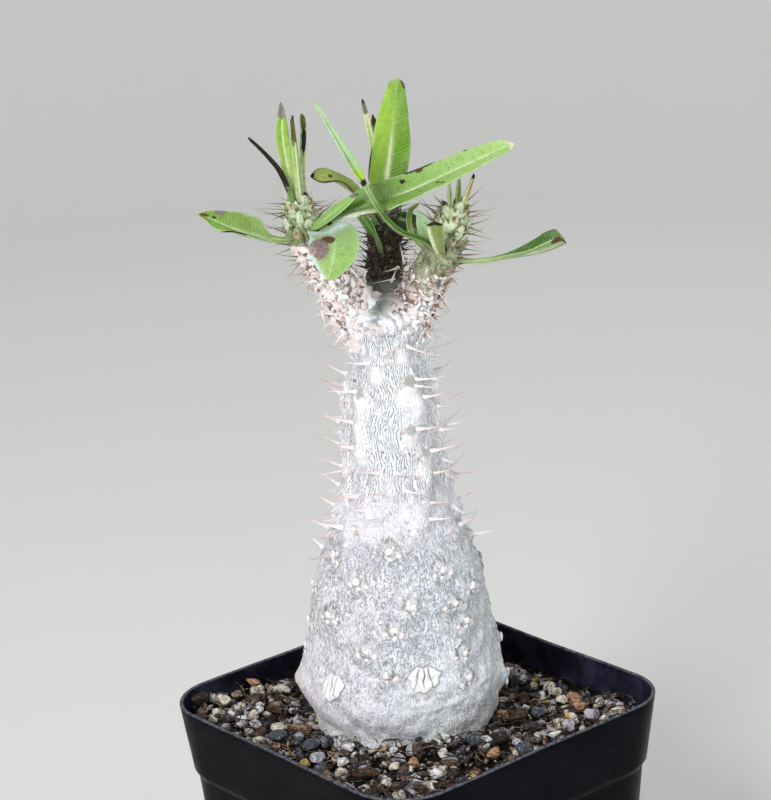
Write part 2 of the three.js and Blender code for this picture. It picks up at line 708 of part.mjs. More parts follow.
function makeStone(shape, random) {
  shape.scale(1, between(STONE_WIDTH, random()), between(STONE_DEPTH, random()));
  return tumble(shape, random);
}

function makeChip(random) {
  const [length, width, depth] = CHIP_SIZE;
  return new THREE.BoxGeometry(length * between(CHIP_SHARE, random()), width, depth)
    .rotateX(CHIP_TILT * (random() - 0.5))
    .rotateY(CHIP_TILT * (random() - 0.5))
    .rotateZ(2 * Math.PI * random());
}

// True where a round thing of some radius lies on the soil, clear of the pot's wall
function onSoil(x, y, radius) {
  const corner = RIM_CORNER - WALL - GAP;
  const flat = BAND_FOOT_SIDE / 2 - WALL - GAP - corner;
  const dx = Math.max(Math.abs(x) - flat, 0);
  const dy = Math.max(Math.abs(y) - flat, 0);
  return Math.hypot(dx, dy) + radius < corner;
}

function makeSoil() {
  const random = seeded(SEEDS.soil);
  const trunk = trunkAt(SOIL_LEVEL);
  const axis = new THREE.Vector2(trunk.x, 0).rotateAround(new THREE.Vector2(), PLANT_TURN);
  const solids = [soilBed()];
  const scatter = (count, reach, sink, make) => {
    let left = count;
    while (left > 0) {
      const x = RIM_SIDE * (random() - 0.5);
      const y = RIM_SIDE * (random() - 0.5);
      const fromTrunk = Math.hypot(x - axis.x, y - axis.y);
      if (onSoil(x, y, reach) && fromTrunk > trunk.y) {
        solids.push(solidOf(make().translate(x, y, soilHeight(x, y) - sink)));
        left -= 1;
      }
    }
  };
  scatter(STONE_COUNT, STONE_RADIUS[1], STONE_SUNK, () => (
    makeStone(new THREE.OctahedronGeometry(between(STONE_RADIUS, random())), random)
  ));
  scatter(PEBBLE_COUNT, PEBBLE_RADIUS[1], PEBBLE_SUNK, () => (
    makeStone(new THREE.IcosahedronGeometry(between(PEBBLE_RADIUS, random())), random)
  ));
  const chipReach = Math.hypot(CHIP_SIZE[0] * CHIP_SHARE[1], CHIP_SIZE[1]) / 2;
  scatter(CHIP_COUNT, chipReach, 0, () => makeChip(random));
  const hole = geometryOf(makeTrunk(GAP)).rotateZ(PLANT_TURN);
  return wasm.Manifold.union(solids).subtract(solidOf(hole));
}

function named(name, solid, look) {
  const mesh = new THREE.Mesh(geometryOf(solid), new THREE.MeshStandardMaterial(look));
  mesh.name = name;
  return mesh;
}

function makePlant() {
  const plant = new THREE.Group();
  plant.rotation.z = PLANT_TURN;
  plant.add(named('caudex', makeCaudex(), COLOURS.caudex));
  const seat = makeCore(GAP);
  for (const leaf of LEAVES) {
    plant.add(named(leaf.name, makeBlade(leaf).subtract(seat), COLOURS.leaf));
  }
  return plant;
}

const group = new THREE.Group();
group.add(named('pot', makePot(), COLOURS.pot));
group.add(named('soil', makeSoil(), COLOURS.soil));
group.add(makePlant());

export default group;
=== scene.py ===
"""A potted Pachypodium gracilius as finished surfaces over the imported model.

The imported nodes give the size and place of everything. Each piece made here stands for one
of them: the pot, the soil with its grit, the caudex with its spines, and the leaves.
"""

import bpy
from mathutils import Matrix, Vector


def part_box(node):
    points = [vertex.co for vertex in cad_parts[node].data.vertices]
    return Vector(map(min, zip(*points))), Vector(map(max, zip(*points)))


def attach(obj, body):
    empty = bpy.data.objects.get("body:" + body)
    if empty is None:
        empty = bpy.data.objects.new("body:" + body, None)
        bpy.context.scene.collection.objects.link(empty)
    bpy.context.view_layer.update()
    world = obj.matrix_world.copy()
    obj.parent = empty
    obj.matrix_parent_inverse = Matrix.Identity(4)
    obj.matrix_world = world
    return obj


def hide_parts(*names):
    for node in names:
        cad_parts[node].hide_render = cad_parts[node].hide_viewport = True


bl_info = {
    "name": "Potted Pachypodium Gracilius",
    "version": (1, 0, 0),
    "blender": (4, 5, 0),
    "location": "3D View > Sidebar > Plant",
    "description": "Builds a spiny caudex plant in a square nursery pot over its packed model",
    "category": "Add Mesh",
}

import itertools
import math
from typing import NamedTuple

import bpy
import numpy as np

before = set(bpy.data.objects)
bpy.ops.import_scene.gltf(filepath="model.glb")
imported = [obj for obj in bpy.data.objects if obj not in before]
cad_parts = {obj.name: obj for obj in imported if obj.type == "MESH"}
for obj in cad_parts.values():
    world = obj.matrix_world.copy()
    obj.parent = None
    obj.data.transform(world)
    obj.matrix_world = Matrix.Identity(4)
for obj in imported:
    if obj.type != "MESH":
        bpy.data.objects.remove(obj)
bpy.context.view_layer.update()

# Shapes are worked out in millimetres and made into meshes in metres
MM = 0.001
BODY = "root"

POT_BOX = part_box("pot")
RIM_SIDE = POT_BOX[1].x - POT_BOX[0].x
RIM_HEIGHT = POT_BOX[1].z
TOP = RIM_HEIGHT / MM

# The plant's own axes, turned about Z: x across it, y away from its front and z up
PLANT_TURN = math.radians(50.16)
GOLDEN_ANGLE = math.radians(137.5)

# Pot: the rest of its sizes, in mm
RIM_CORNER = 16
BAND_HEIGHT = 20
BAND_FOOT_SIDE = 98
BODY_TOP_SIDE = 96.4
FOOT_SIDE = 84.5
FOOT_CORNER = 13
STEP_ROUNDING = 0.8
FLOOR_TOP = 3.8
PANEL_SIDE = 70
PANEL_CORNER = 10
PANEL_RISE = 2
DRAIN_RADIUS = 4.5
DRAIN_SPACING = 24
SIDE_BOW = 0.35
GAP = 0.35

# Thickness of the pot's wall in metres
WALL = 0.0011

# The stage in metres: where its level floor ends, the round of its bend and the top of its wall
FLOOR_REACH = 1.0
FLOOR_BEND = 0.7
WALL_TOP = 2.6
FLOOR_SIDES = 96

# The height in metres that the lights are turned about, and the camera's film width in mm
LIGHTS_HEIGHT = 0.14
SENSOR_WIDTH = 36

# The trunk from the root tip to the fork, as [height, centre across, radius]
TRUNK = [
    [48, -3.4, 5], [52, -3.4, 9], [60, -3.4, 13.5], [68, -3.4, 16.5], [75.4, -3.6, 19.5],
    [81.3, -2.9, 23.2], [87.3, -3.3, 24.9], [94.8, -3.8, 27.5], [99.2, -3.5, 26.8],
    [105.1, -3.1, 25.3], [116.8, -2.9, 23.9], [122.6, -2.5, 22.9], [128.4, -2.6, 21.1],
    [134.1, -2.3, 19.1], [139.9, -2.6, 17], [145.6, -2.6, 15.2], [151.3, -2.6, 13.7],
    [156.9, -2.4, 12.7], [168.1, -2.7, 12.3], [173.7, -2.4, 12.1], [179.2, -2.2, 11],
    [184.7, -2.1, 9.7], [188.9, -2.4, 9.5], [193, -2.7, 10.3], [197, -3, 10.8], [200.5, -3, 9],
    [202.5, -3, 4.5],
]

# The heights of the trunk's rings, as (lowest, highest, count)
TRUNK_ROWS = ((48, 75, 8), (75.4, 150, 112), (150.5, 202.3, 115))

# The branches, as [x, y, z, radius] from inside the trunk to the growing tip
BRANCHES = {
    "left": [
        [-4.5, -1, 188, 6.4], [-8.4, -1.5, 196, 6.6], [-12.7, -2.5, 203.5, 6.2],
        [-16.8, -3, 210.5, 5.1], [-20.8, -4, 217.5, 4.5], [-22.9, -4, 224, 4.3],
        [-23.1, -3.6, 230, 2.9],
    ],
    "middle": [
        [-2.6, 3, 190, 7], [-2.6, 8, 198, 6.2], [-2.3, 11.2, 205, 4.9], [-1.8, 12.7, 211, 4.3],
        [-1, 13.3, 217, 4.2], [-0.6, 13.4, 222.5, 2.8],
    ],
    "right": [
        [0.6, -1, 188, 5.7], [3.5, -1.6, 196, 5.6], [6.9, -2.2, 203.5, 5.3],
        [10.5, -3, 210, 4.9], [13.8, -3, 216, 4.7], [15.7, -3, 221, 4.4], [16.7, -3, 226, 3],
    ],
}

# Spined tubercles on the neck, as [degrees round from the front, height]
NECK_SITES = [
    [19, 190], [26, 181], [34, 176], [23, 168], [39, 161], [36, 155], [25, 148], [20, 144],
    [-76, 181], [-79, 175], [-41, 170], [-42, 163], [-69, 156], [-36, 150], [-8, 157],
    [-19, 147], [-51, 141], [78, 192], [82, 186], [86, 179], [78, 172], [84, 165], [82, 157],
    [88, 152], [84, 143], [61, 139], [-84, 193], [-84, 167], [-82, 161], [-80, 150],
    [-84, 144], [-80, 138], [-84, 132], [-42, 178], [14, 180], [2, 152], [-20, 186],
    [118, 190], [152, 186], [-118, 187], [-152, 183], [126, 179], [168, 178], [-124, 176],
    [140, 171], [-160, 170], [-112, 168], [112, 164], [176, 162], [-136, 161], [148, 155],
    [-168, 153], [-112, 153], [118, 150], [160, 147], [-140, 145], [130, 141], [-118, 138],
    [-170, 139], [100, 134], [150, 133],
]

# Old leaf scars on the swollen base, as [degrees round from the front, height]
SCAR_SITES = [
    [-60, 135], [-8, 138], [-32, 130], [-51, 120], [-86, 124], [-78, 115], [31, 132], [56, 125],
    [7, 124], [-5, 118], [35, 123], [45, 117], [-22, 112], [-10, 106], [39, 109], [40, 102],
    [-88, 106], [88, 105], [86, 95], [108, 126], [140, 120], [176, 126], [-120, 128],
    [-150, 117], [120, 111], [158, 106], [-112, 109], [-166, 101], [118, 97], [-134, 94],
]

# Large chalky scars, as [degrees round from the front, height, half width, half length], and
# where their upright cracks run, as shares of the half width
CHALK_SCARS = [[12.2, 104.2, 4.4, 3.4], [-43.5, 100.8, 3.3, 3.8]]
CRACKS = [-0.46, -0.03, 0.36]

# White lumps between the neck's spines, as [degrees round from the front, height]
NECK_LUMPS = [[-26, 146.6], [-44, 142.3], [14, 142.3], [-62, 148]]

# Where the bark is more wrinkled and where it is grimy, as [degrees, height, across, along, amount]
WRINKLE_LINES = 105
WRINKLED = [
    [48, 190, 4, 6, 0.9], [-4, 178, 3, 12, 0.5], [-14, 166, 3, 8, 0.3], [60, 175, 3, 10, 0.35],
    [10, 163, 4, 8, 0.25], [-58, 174, 3, 8, 0.3], [57, 152, 4, 8, 0.3], [130, 172, 4, 12, 0.4],
    [-130, 165, 4, 10, 0.4], [180, 178, 3, 10, 0.4],
]
GRIMY = [
    [15, 98, 7, 1.6, 1], [60, 96, 5, 3, 0.8], [40, 115, 3, 2.5, 0.7], [7, 123, 4, 2, 0.7],
    [80, 112, 3, 5, 0.8], [150, 110, 5, 5, 0.6], [-140, 100, 6, 4, 0.6],
]

# Loose flakes of skin that bulge from the flanks, as [degrees, height, across, along, rise]
FLAKES = [
    [-92, 98, 8, 4, 0.6], [-80, 84, 7, 3, 0.7], [92, 101, 5, 3.6, 0.5], [88, 92, 7, 3.4, 0.6],
    [98, 84, 6, 2.6, 1.2], [170, 96, 8, 4, 1.2], [135, 88, 6, 3, 1],
]

# The light crease round the lower right of the base, as [degrees, height]
CREASE = [[4, 101], [10, 97.6], [17, 95.6], [27, 96.2], [38, 97.4], [48, 98.6], [58, 99.2]]

# The bells that raise a neck tubercle and an old leaf scar, as in the solid
NECK_TUBERCLE = {"height": 1.7, "across": 3, "along": 2.2}
SCAR_BUMP = {"height": 1.4, "across": 3.9, "along": 3.3}

# How many tubercles each branch bears, and over what share of its length
CROWN_COUNTS = {"left": 46, "middle": 60, "right": 46}
CROWN_STRETCH = (0.40, 0.985)

# The tubercles with a dark hollow under the spines, as [degrees round from the front, height]
HOLLOWS = [[26, 181], [24, 168], [-42, 178], [39, 161], [36, 190], [140, 171], [-124, 176]]
# The least gap between a crown spine and a leaf, and how near a leaf's points are looked at
LEAF_CLEARANCE = 0.45
LEAF_REACH = 16

# Half a neck spine pair's spread, and the neck's radius where it is measured
PAIR_GAP = 2.2
NECK_RADIUS = 12

# How the folds at the top of the trunk are drawn out
FOLD_STRETCH = (1, 1, 1.35)

# How far back the middle branch's foot turns rough and pale
BEHIND = (7.5, 10.5)

# Heights of the fork's knobs on the trunk, and how far up each outer branch they go
FORK_LEVELS = (192, 201.5)
FORK_REACH = {"left": 0.62, "right": 0.5}

# How many knobs and short spines are tried over the fork
FORK_KNOBS = 150
FORK_STUBS = 190

# The long pale spines at the fork, from foot to tip
FORK_SPINES = [
    [-0.1, -3.5, 207.6, -5.9, -6.5, 207.5], [-0.4, -3.5, 207.4, 1.2, -4.5, 211.1],
    [1.1, -3, 210.4, -2.9, -7, 210], [-16.7, -5, 200.4, -21.1, -6, 199.8],
    [-19, -6, 200.4, -18.2, -9, 196.4], [-15.3, -6, 196.8, -19.4, -8, 198.1],
    [7.2, -6, 199.3, 11.1, -10, 196.6], [9.5, -3, 201.5, 15.6, -5, 200.7],
    [-8.6, -9, 200.5, -5, -11, 200.3], [-9.7, -6, 213.4, -11.7, -9, 210.8],
    [-10.6, -7, 211.5, -6.5, -11, 206.8], [3, 0, 211.1, 2, -1, 217.3],
    [4.3, 1, 210.8, 5.3, -1, 216.8], [-12.7, -9, 206.3, -16.1, -13, 209.4],
    [-11.5, -9, 204.1, -13.4, -13, 202.6], [2.8, -5, 204.9, 5.2, -9, 208.7],
]

# Leaves. A knot is [x, y, z, half width, fold], the fold in degrees that each half is raised, and
# curl adds to it at the edge. The upper face looks along face. A mark is [kind, place along,
# place across, length, width]: places run from 0 at the base to 1 at the tip, and from -1 to 1
# across, and sizes are in mm.


class Leaf(NamedTuple):
    """A leaf's own numbers, in the units told above."""
    face: list
    tone: str
    knots: list
    marks: list = ()
    curl: float = 0
    ripple: float = 0.1
    rib: float = 0.2
    skew: float = 0


LEAVES = {
    "leaf_left_side": Leaf(
        [0, -0.64, 0.77], "sage", curl=22, ripple=0.7, rib=0.9, skew=-0.3,
        knots=[[-20, -4.5, 220.3, 0.9, 45], [-26.5, -7, 220.3, 1, 50], [-30.8, -8, 220.9, 1.3, 42],
               [-32.6, -8.5, 221.5, 1.9, 36], [-35, -9, 222.4, 3.7, 26], [-38.4, -10, 223.9, 3.8, 20],
               [-42.8, -10, 225.9, 3.1, 18], [-46.2, -10, 227.8, 1.9, 22], [-49, -10, 229.2, 0.5, 30]],
        marks=[["mauve", 0.84, -0.9, 1.5, 0.8], ["brown", 0.95, -0.3, 1.4, 0.35],
               ["dark", 0.87, -0.3, 0.6, 0.25], ["dark", 0.68, 1, 3, 0.25]]),
    "leaf_left_dry": Leaf(
        [-0.5, -0.5, 0.6], "charred", rib=0.1,
        knots=[[-23.9, -4.6, 227, 0.7, 50], [-26.6, -6.4, 236.6, 0.8, 58],
               [-29.8, -7, 241.9, 0.75, 62], [-34.8, -8, 247.8, 0.5, 60]],
        marks=[["dark", 0.85, 0, 15, 4]]),
    "leaf_left_tall": Leaf(
        [0.2, -1, 0.1], "lime", rib=1,
        knots=[[-24.6, -3, 227, 0.8, 30], [-25.7, -3, 238.1, 1.5, 24], [-26.5, -3, 246.6, 1.9, 20],
               [-26.3, -2.6, 251, 1.2, 20], [-26.2, -2.2, 255.3, 0.4, 20]],
        marks=[["grey", 0.95, 0, 2.8, 2.4]]),
    "leaf_left_folded": Leaf(
        [-0.7, -1, 0], "lime", rib=0.3,
        knots=[[-22.7, -4.4, 227, 0.7, 40], [-23.1, -4.4, 240.6, 1, 48], [-23.5, -3.6, 252, 0.6, 48]],
        marks=[["olive", 0.9, 0, 5, 3], ["dark", 0.99, 0, 1, 2], ["cream", 0.3, -1, 9, 0.35]]),
    "leaf_left_browned": Leaf(
        [0.5, -1, 0], "lime",
        knots=[[-21.9, -1.6, 227, 0.7, 40], [-21.9, -0.8, 238, 0.8, 42], [-21.3, 0, 246.6, 1, 38],
               [-21.2, 0, 251.6, 0.8, 42]],
        marks=[["dark", 0.74, -0.1, 4.2, 1.1], ["olive", 0.96, 0, 3, 2], ["cream", 0.2, 0, 6, 2]]),
    "leaf_left_raised": Leaf(
        [-0.35, -0.7, 0.6], "fresh", rib=0.4,
        knots=[[-21.2, -5.4, 223, 0.9, 30], [-18.4, -9.4, 224.4, 1.4, 24],
               [-14.6, -12.6, 227.8, 1.8, 18], [-11, -15, 231, 1.4, 18], [-8, -16, 233.6, 0.5, 24]],
        marks=[["mauve", 0.97, 0.4, 1.5, 1], ["dark", 1, 0, 0.7, 1]]),
    "leaf_long": Leaf(
        [-0.1, -0.64, 0.77], "long", curl=12, ripple=0.25, rib=1,
        knots=[[-19.2, -5, 221.5, 0.8, 40], [-15, -8, 224.7, 0.9, 40], [-11.8, -10, 226.7, 2.4, 34],
               [-7.1, -11.8, 228.9, 4.6, 22], [-1.1, -12.4, 230.7, 5.2, 18],
               [5.8, -12.2, 232.8, 4.8, 18], [13.9, -11, 235.8, 4.2, 18], [23, -9.6, 239.1, 3.7, 16],
               [29.3, -8.5, 241.4, 2.4, 14], [32.6, -8, 242.4, 0.8, 12]],
        marks=[["dark", 0.1, -0.8, 0.9, 0.7], ["dark", 0.48, 0.62, 0.8, 0.6],
               ["dark", 0.62, -0.42, 0.4, 0.35], ["dark", 0.64, -0.66, 0.7, 0.3],
               ["dark", 0.7, 0.3, 0.5, 0.35], ["dark", 0.53, -0.5, 0.5, 0.5],
               ["dark", 0.42, -0.6, 0.6, 0.3], ["dark", 0.6, 0.97, 3.4, 0.3],
               ["dark", 0.53, 0.97, 2.8, 0.35], ["brown", 0.57, 0.85, 1.1, 0.5],
               ["cream", 0.99, 0, 1, 3], ["dark", 0.79, 0.98, 0.6, 0.3],
               ["white", 0.24, -0.75, 4.6, 1.1], ["brown", 0.33, -0.98, 4, 0.25],
               ["deep", 0.36, 0.3, 5, 3]]),
    "leaf_front": Leaf(
        [0, -0.3, 1], "front", curl=10, ripple=0.35, rib=0.35,
        knots=[[-20.3, -6.5, 219.8, 0.9, 40], [-19.2, -12, 222.3, 2.2, 30],
               [-16.5, -18.5, 224.4, 5, 14], [-14.5, -24.5, 224.4, 6.1, 6],
               [-14.6, -28.5, 221.9, 6.3, 4], [-15.4, -30.8, 218.4, 4.2, 6],
               [-16.4, -32, 215.6, 1, 10]],
        marks=[["mauve", 0.74, -0.6, 3.8, 2.6], ["brown", 0.64, -0.25, 1.7, 2],
               ["fawn", 0.77, -0.8, 1.8, 2], ["frost", 0.47, 0, 1.8, 9],
               ["frost", 0.78, -1.05, 6, 1.2]]),
    "leaf_middle_broad": Leaf(
        [0.1, -1, 0.1], "broad", curl=8, ripple=0.3, rib=1,
        knots=[[-1.2, 12.2, 220, 0.9, 40], [-1.3, 11, 225.9, 2.2, 28], [-0.5, 10.5, 230.8, 4.9, 12],
               [1, 11, 238.6, 5.3, 10], [2.1, 12, 246.3, 4.3, 10], [3.1, 13.2, 253, 2.9, 10],
               [3.7, 14, 257, 1.8, 12]],
        marks=[["cream", 1, 0, 0.7, 3], ["brown", 0.96, -0.9, 1.2, 0.5], ["dark", 0.4, 1, 5, 0.25],
               ["deep", 0.34, -0.6, 3.5, 2.2], ["mid", 0.72, -0.55, 12, 2.5],
               ["light", 0.66, 0.5, 8, 2.4], ["cream", 0.36, 0, 8, 0.5]]),
    "leaf_middle_wavy": Leaf(
        [0, -0.5, 0.85], "moss", ripple=0.8, rib=0.5,
        knots=[[-2.6, 12, 217, 0.8, 45], [-5.2, 8.2, 223.2, 1, 36], [-8.8, 5.2, 229, 2.1, 26],
               [-13, 3.6, 232.6, 2.6, 30], [-17, 3, 234.4, 2.2, 24], [-20, 3, 234.7, 0.5, 30]],
        marks=[["dark", 0.99, 0, 0.8, 1.2], ["brown", 0.75, 1, 9, 0.25], ["brown", 0.78, -1, 6, 0.25],
               ["brown", 0.82, -0.2, 0.7, 0.5], ["brown", 0.66, 0.3, 0.6, 0.4]]),
    "leaf_middle_pale": Leaf(
        [0.3, -1, 0.2], "cream",
        knots=[[-1.4, 14, 220.5, 0.7, 30], [-3, 15.8, 235, 1.1, 30], [-4.3, 17, 244, 0.9, 26],
               [-5.5, 18, 251.2, 0.4, 20]],
        marks=[["dark", 0.99, 0, 1.4, 2], ["grey", 0.92, 0, 1.8, 1]]),
    "leaf_middle_yellow": Leaf(
        [0.3, -1, 0.2], "lime", rib=0.3,
        knots=[[0.2, 14.6, 220.5, 0.7, 30], [-1.7, 18, 233, 1.6, 30], [-3, 20.5, 246.4, 0.6, 24]],
        marks=[["brown", 0.97, 0, 2.4, 2]]),
    "leaf_middle_low": Leaf(
        [-0.5, -0.5, 0.7], "deep", ripple=0.2, rib=0.5,
        knots=[[-2.4, 10.4, 210, 0.8, 40], [-3.9, 6, 217, 1.3, 30], [-7, 4.6, 222.6, 1.5, 24],
               [-9.4, 4, 225.8, 0.6, 24]]),
    "leaf_middle_shaded": Leaf(
        [0.2, -0.9, 0.4], "dark", curl=8, ripple=0.2, rib=0.7,
        knots=[[-0.6, 12.2, 219, 0.9, 36], [3.4, 11.4, 219.6, 2.4, 20], [6.4, 10.8, 216.8, 3.2, 12],
               [9.4, 11.2, 211.8, 0.8, 12]]),
    "leaf_right_bent": Leaf(
        [0.3, -0.8, 0.5], "glaucous", ripple=0.05, rib=0.7,
        knots=[[12.4, -5, 214.6, 0.8, 45], [7.4, -12, 219.8, 0.9, 52], [1.7, -17, 223.7, 0.9, 55],
               [-2.8, -20, 230, 0.8, 50], [-6.4, -19.5, 237, 0.9, 44], [-8.4, -19, 240.6, 1.7, 36],
               [-11.6, -18, 246.7, 1.2, 35], [-17.7, -17, 258.3, 0.4, 30]],
        marks=[["dark", 0.59, 0, 0.9, 1.6], ["lime", 0.625, 0, 1.5, 3], ["deep", 0.3, 0, 12, 3]]),
    "leaf_right_side": Leaf(
        [0, -0.2, 1], "sage", ripple=0.2, rib=0.4,
        knots=[[14.2, -3, 213.3, 0.9, 40], [18.5, -4, 211.5, 0.9, 45], [24.2, -4, 211.2, 0.9, 48],
               [30.5, -3, 211.8, 1.2, 50], [36.2, -3, 212.2, 3.2, 50], [40.6, -3, 213, 4.7, 50],
               [43.6, -3, 214, 4.6, 54], [45.2, -3, 214.6, 3.8, 62]],
        marks=[["brown", 0.94, -0.8, 1.9, 1.2], ["dark", 1, -0.6, 0.5, 1.4], ["shade", 0.7, 0.6, 6, 2],
               ["shade", 0.84, 0.6, 6, 2.4], ["cream", 0.8, -0.3, 5, 0.7]]),
    "leaf_right_cut": Leaf(
        [-0.1, -1, 0.3], "olive", ripple=0.05, rib=0.1,
        knots=[[12.9, -5, 212.8, 0.9, 30], [11.9, -10.4, 217.8, 1.6, 20], [11.4, -13, 221.3, 2, 16],
               [11.1, -15.2, 225, 2.2, 14]],
        marks=[["dark", 1, 0, 0.9, 5], ["cream", 0.55, 0.8, 7, 0.5]]),
    "leaf_right_curled": Leaf(
        [0, -1, 0.2], "sage", ripple=0, rib=0.8,
        knots=[[11, -2.6, 213, 0.7, 40], [6.4, -4, 217.6, 0.8, 40], [4.9, -4.2, 221.5, 0.9, 40],
               [5.2, -4.4, 225.5, 0.8, 40], [7.6, -4.6, 227.6, 0.4, 40]]),
    "leaf_right_pale": Leaf(
        [0.2, -1, 0.2], "glaucous",
        knots=[[12, -3.4, 213.6, 0.9, 30], [9.2, -7.4, 219.6, 1.8, 18], [8, -8.6, 223.4, 1.7, 16],
               [7.2, -9, 226.4, 0.5, 16]]),
    "leaf_right_young_a": Leaf(
        [0, -1, 0.1], "fresh", ripple=0,
        knots=[[15.8, -4, 223.5, 0.7, 40], [15.7, -4.4, 229, 0.9, 44], [15.7, -4.4, 232.4, 0.4, 40]],
        marks=[["cream", 0.5, 1, 6, 0.3], ["cream", 0.5, -1, 6, 0.3]]),
    "leaf_right_young_b": Leaf(
        [0, -1, 0.1], "fresh", ripple=0,
        knots=[[17.2, -2, 223.5, 0.7, 40], [17.9, -1.6, 229, 0.9, 44], [18.3, -1.4, 233, 0.4, 40]],
        marks=[["cream", 0.5, 1, 6, 0.3]]),
    "leaf_right_brown": Leaf(
        [0.3, -1, 0.1], "rust", ripple=0, rib=0.1,
        knots=[[17.4, -4.4, 222.8, 0.7, 40], [19.9, -5, 229.4, 0.9, 44],
               [22.1, -4.6, 234.4, 0.35, 40]],
        marks=[["cream", 0.4, 0.9, 9, 0.7], ["dark", 0.99, 0, 1.2, 1]]),
}

# The soil's rise to the right and to the front, and its heaps, as [place, size, rise]
SOIL_LINE = 84.0
SOIL_TILT = (-0.03, 0.03)
SOIL_HEAPS = [
    [[2, 24], 17, 4.2], [[-22, 16], 10, 1], [[-60, -8], 15, 4], [[-46, -24], 10, 1.4],
    [[62, -2], 12, 3.2],
]

# Stones and chunks of bark that stand out, as [place across, place to the front, half length,
# width and height as shares of it, turn in degrees, tone]
SOIL_STONES = [
    [-37.8, -19.2, 3.8, 0.5, 0.3, 0, "cream"], [-38.3, 13.2, 3.6, 0.7, 0.5, 10, "slate"],
    [-53.5, -8.2, 2.6, 0.9, 0.7, 0, "cream"], [-18.8, 23.4, 2.3, 0.6, 0.6, 0, "white"],
    [-27.5, 27.7, 2.8, 0.7, 0.5, 40, "lavender"], [-30.2, 30.4, 1.7, 0.9, 0.7, 0, "yellow"],
    [-20.6, 31, 2.2, 0.7, 0.6, 20, "white"], [-28.9, 19.8, 3, 0.6, 0.5, 15, "slate"],
    [-45, -1.3, 2.4, 0.8, 0.6, 30, "cream"], [-44, 5, 2.2, 0.8, 0.6, 0, "lavender"],
    [45.5, -2.7, 2.9, 0.7, 0.5, 10, "orange"], [47.9, 4.6, 3, 0.7, 0.6, -20, "lavender"],
    [33.7, -1.1, 2.9, 0.8, 0.6, 0, "slate"], [30, 10.4, 3.6, 0.6, 0.4, -10, "coal"],
    [44.7, 17.3, 3.2, 0.55, 0.4, 12, "white"], [41.1, 11.1, 2.4, 0.9, 0.7, 0, "lavender"],
    [36.6, 16.4, 2.2, 0.7, 0.6, 0, "white"], [37.7, -18.8, 1.9, 0.9, 0.8, 0, "cream"],
    [39.2, -14.7, 2.1, 0.8, 0.7, 30, "cream"], [40.3, -9.7, 2.3, 0.8, 0.6, 0, "cream"],
    [19.5, 29.5, 2.9, 0.7, 0.6, 60, "orange"], [27.6, 24.4, 3, 0.8, 0.6, 0, "slate"],
    [32.5, 28.5, 3.3, 0.65, 0.5, 0, "lavender"], [25.2, 29, 1.8, 0.7, 0.9, 80, "cream"],
    [14.5, 23.6, 2.8, 0.8, 0.6, 0, "slate"], [3.8, 43, 2.2, 0.9, 0.7, 60, "white"],
    [-45.8, -23.8, 2.4, 0.6, 0.5, 0, "orange"], [6.1, 33, 2, 0.8, 0.7, 0, "cream"],
    [-49.9, -13.3, 2.2, 0.8, 0.6, 20, "tan"], [-48.8, -4.6, 2.1, 0.8, 0.7, 40, "cream"],
    [-38.3, 7.2, 2.2, 0.8, 0.7, 0, "cream"], [-6.6, 37.8, 2, 0.7, 0.6, 30, "cream"],
]
SOIL_CHUNKS = [
    [-15.2, 38.6, 5.4, 0.5, 0.32, -8, "brown"], [-59.3, -8.5, 3.4, 0.7, 0.6, 30, "dark"],
    [-32.6, 7.7, 4.4, 0.5, 0.35, -25, "tan"], [-39, -6, 3.2, 0.4, 0.35, -40, "brown"],
    [30, -12, 4, 0.5, 0.5, 70, "brown"], [27.5, 2, 4.2, 0.5, 0.35, 45, "brown"],
    [22, 20, 4, 0.4, 0.3, 40, "dark"], [-36.4, -5.2, 2.4, 0.3, 0.3, 85, "tan"],
]

# Rings along a leaf between two knots, columns on each side of its rib, and its veins' spacing
BLADE_STEPS = 9
BLADE_COLUMNS = 9
VEIN_SPACING = 0.95

# Leaf greens, as the colour at the base and at the tip of the blade
LEAF_TONES = {
    "sage": ((0.25, 0.36, 0.12), (0.17, 0.31, 0.045)),
    "charred": ((0.16, 0.30, 0.05), (0.02, 0.018, 0.025)),
    "lime": ((0.45, 0.60, 0.17), (0.24, 0.46, 0.03)),
    "fresh": ((0.26, 0.46, 0.11), (0.26, 0.47, 0.12)),
    "long": ((0.10, 0.24, 0.01), (0.38, 0.58, 0.19)),
    "front": ((0.30, 0.44, 0.26), (0.28, 0.46, 0.12)),
    "broad": ((0.15, 0.28, 0.015), (0.34, 0.56, 0.09)),
    "moss": ((0.18, 0.30, 0.04), (0.26, 0.33, 0.07)),
    "cream": ((0.60, 0.68, 0.22), (0.72, 0.74, 0.42)),
    "deep": ((0.08, 0.20, 0.03), (0.10, 0.26, 0.04)),
    # Painted shade: dark, the tone of leaf_middle_shaded, is a near black green for the shade that leaf
    # lies in
    "dark": ((0.012, 0.045, 0.012), (0.02, 0.07, 0.015)),
    "glaucous": ((0.22, 0.34, 0.10), (0.40, 0.60, 0.34)),
    "olive": ((0.26, 0.34, 0.12), (0.20, 0.25, 0.05)),
    "rust": ((0.40, 0.48, 0.14), (0.48, 0.20, 0.04)),
}
MARK_TONES = {
    "dark": (0.02, 0.016, 0.012), "brown": (0.13, 0.06, 0.035), "mauve": (0.27, 0.20, 0.19),
    "grey": (0.26, 0.25, 0.21), "cream": (0.74, 0.78, 0.52), "olive": (0.12, 0.12, 0.02),
    "shade": (0.06, 0.14, 0.02), "lime": (0.40, 0.62, 0.05), "white": (0.88, 0.92, 0.80),
    "frost": (0.60, 0.74, 0.74), "deep": (0.08, 0.17, 0.015),
    "mid": (0.12, 0.28, 0.012), "light": (0.31, 0.52, 0.05), "fawn": (0.42, 0.33, 0.30),
}

FRESH_MARKS = ("cream", "white", "shade", "lime", "frost", "deep", "mid", "light")

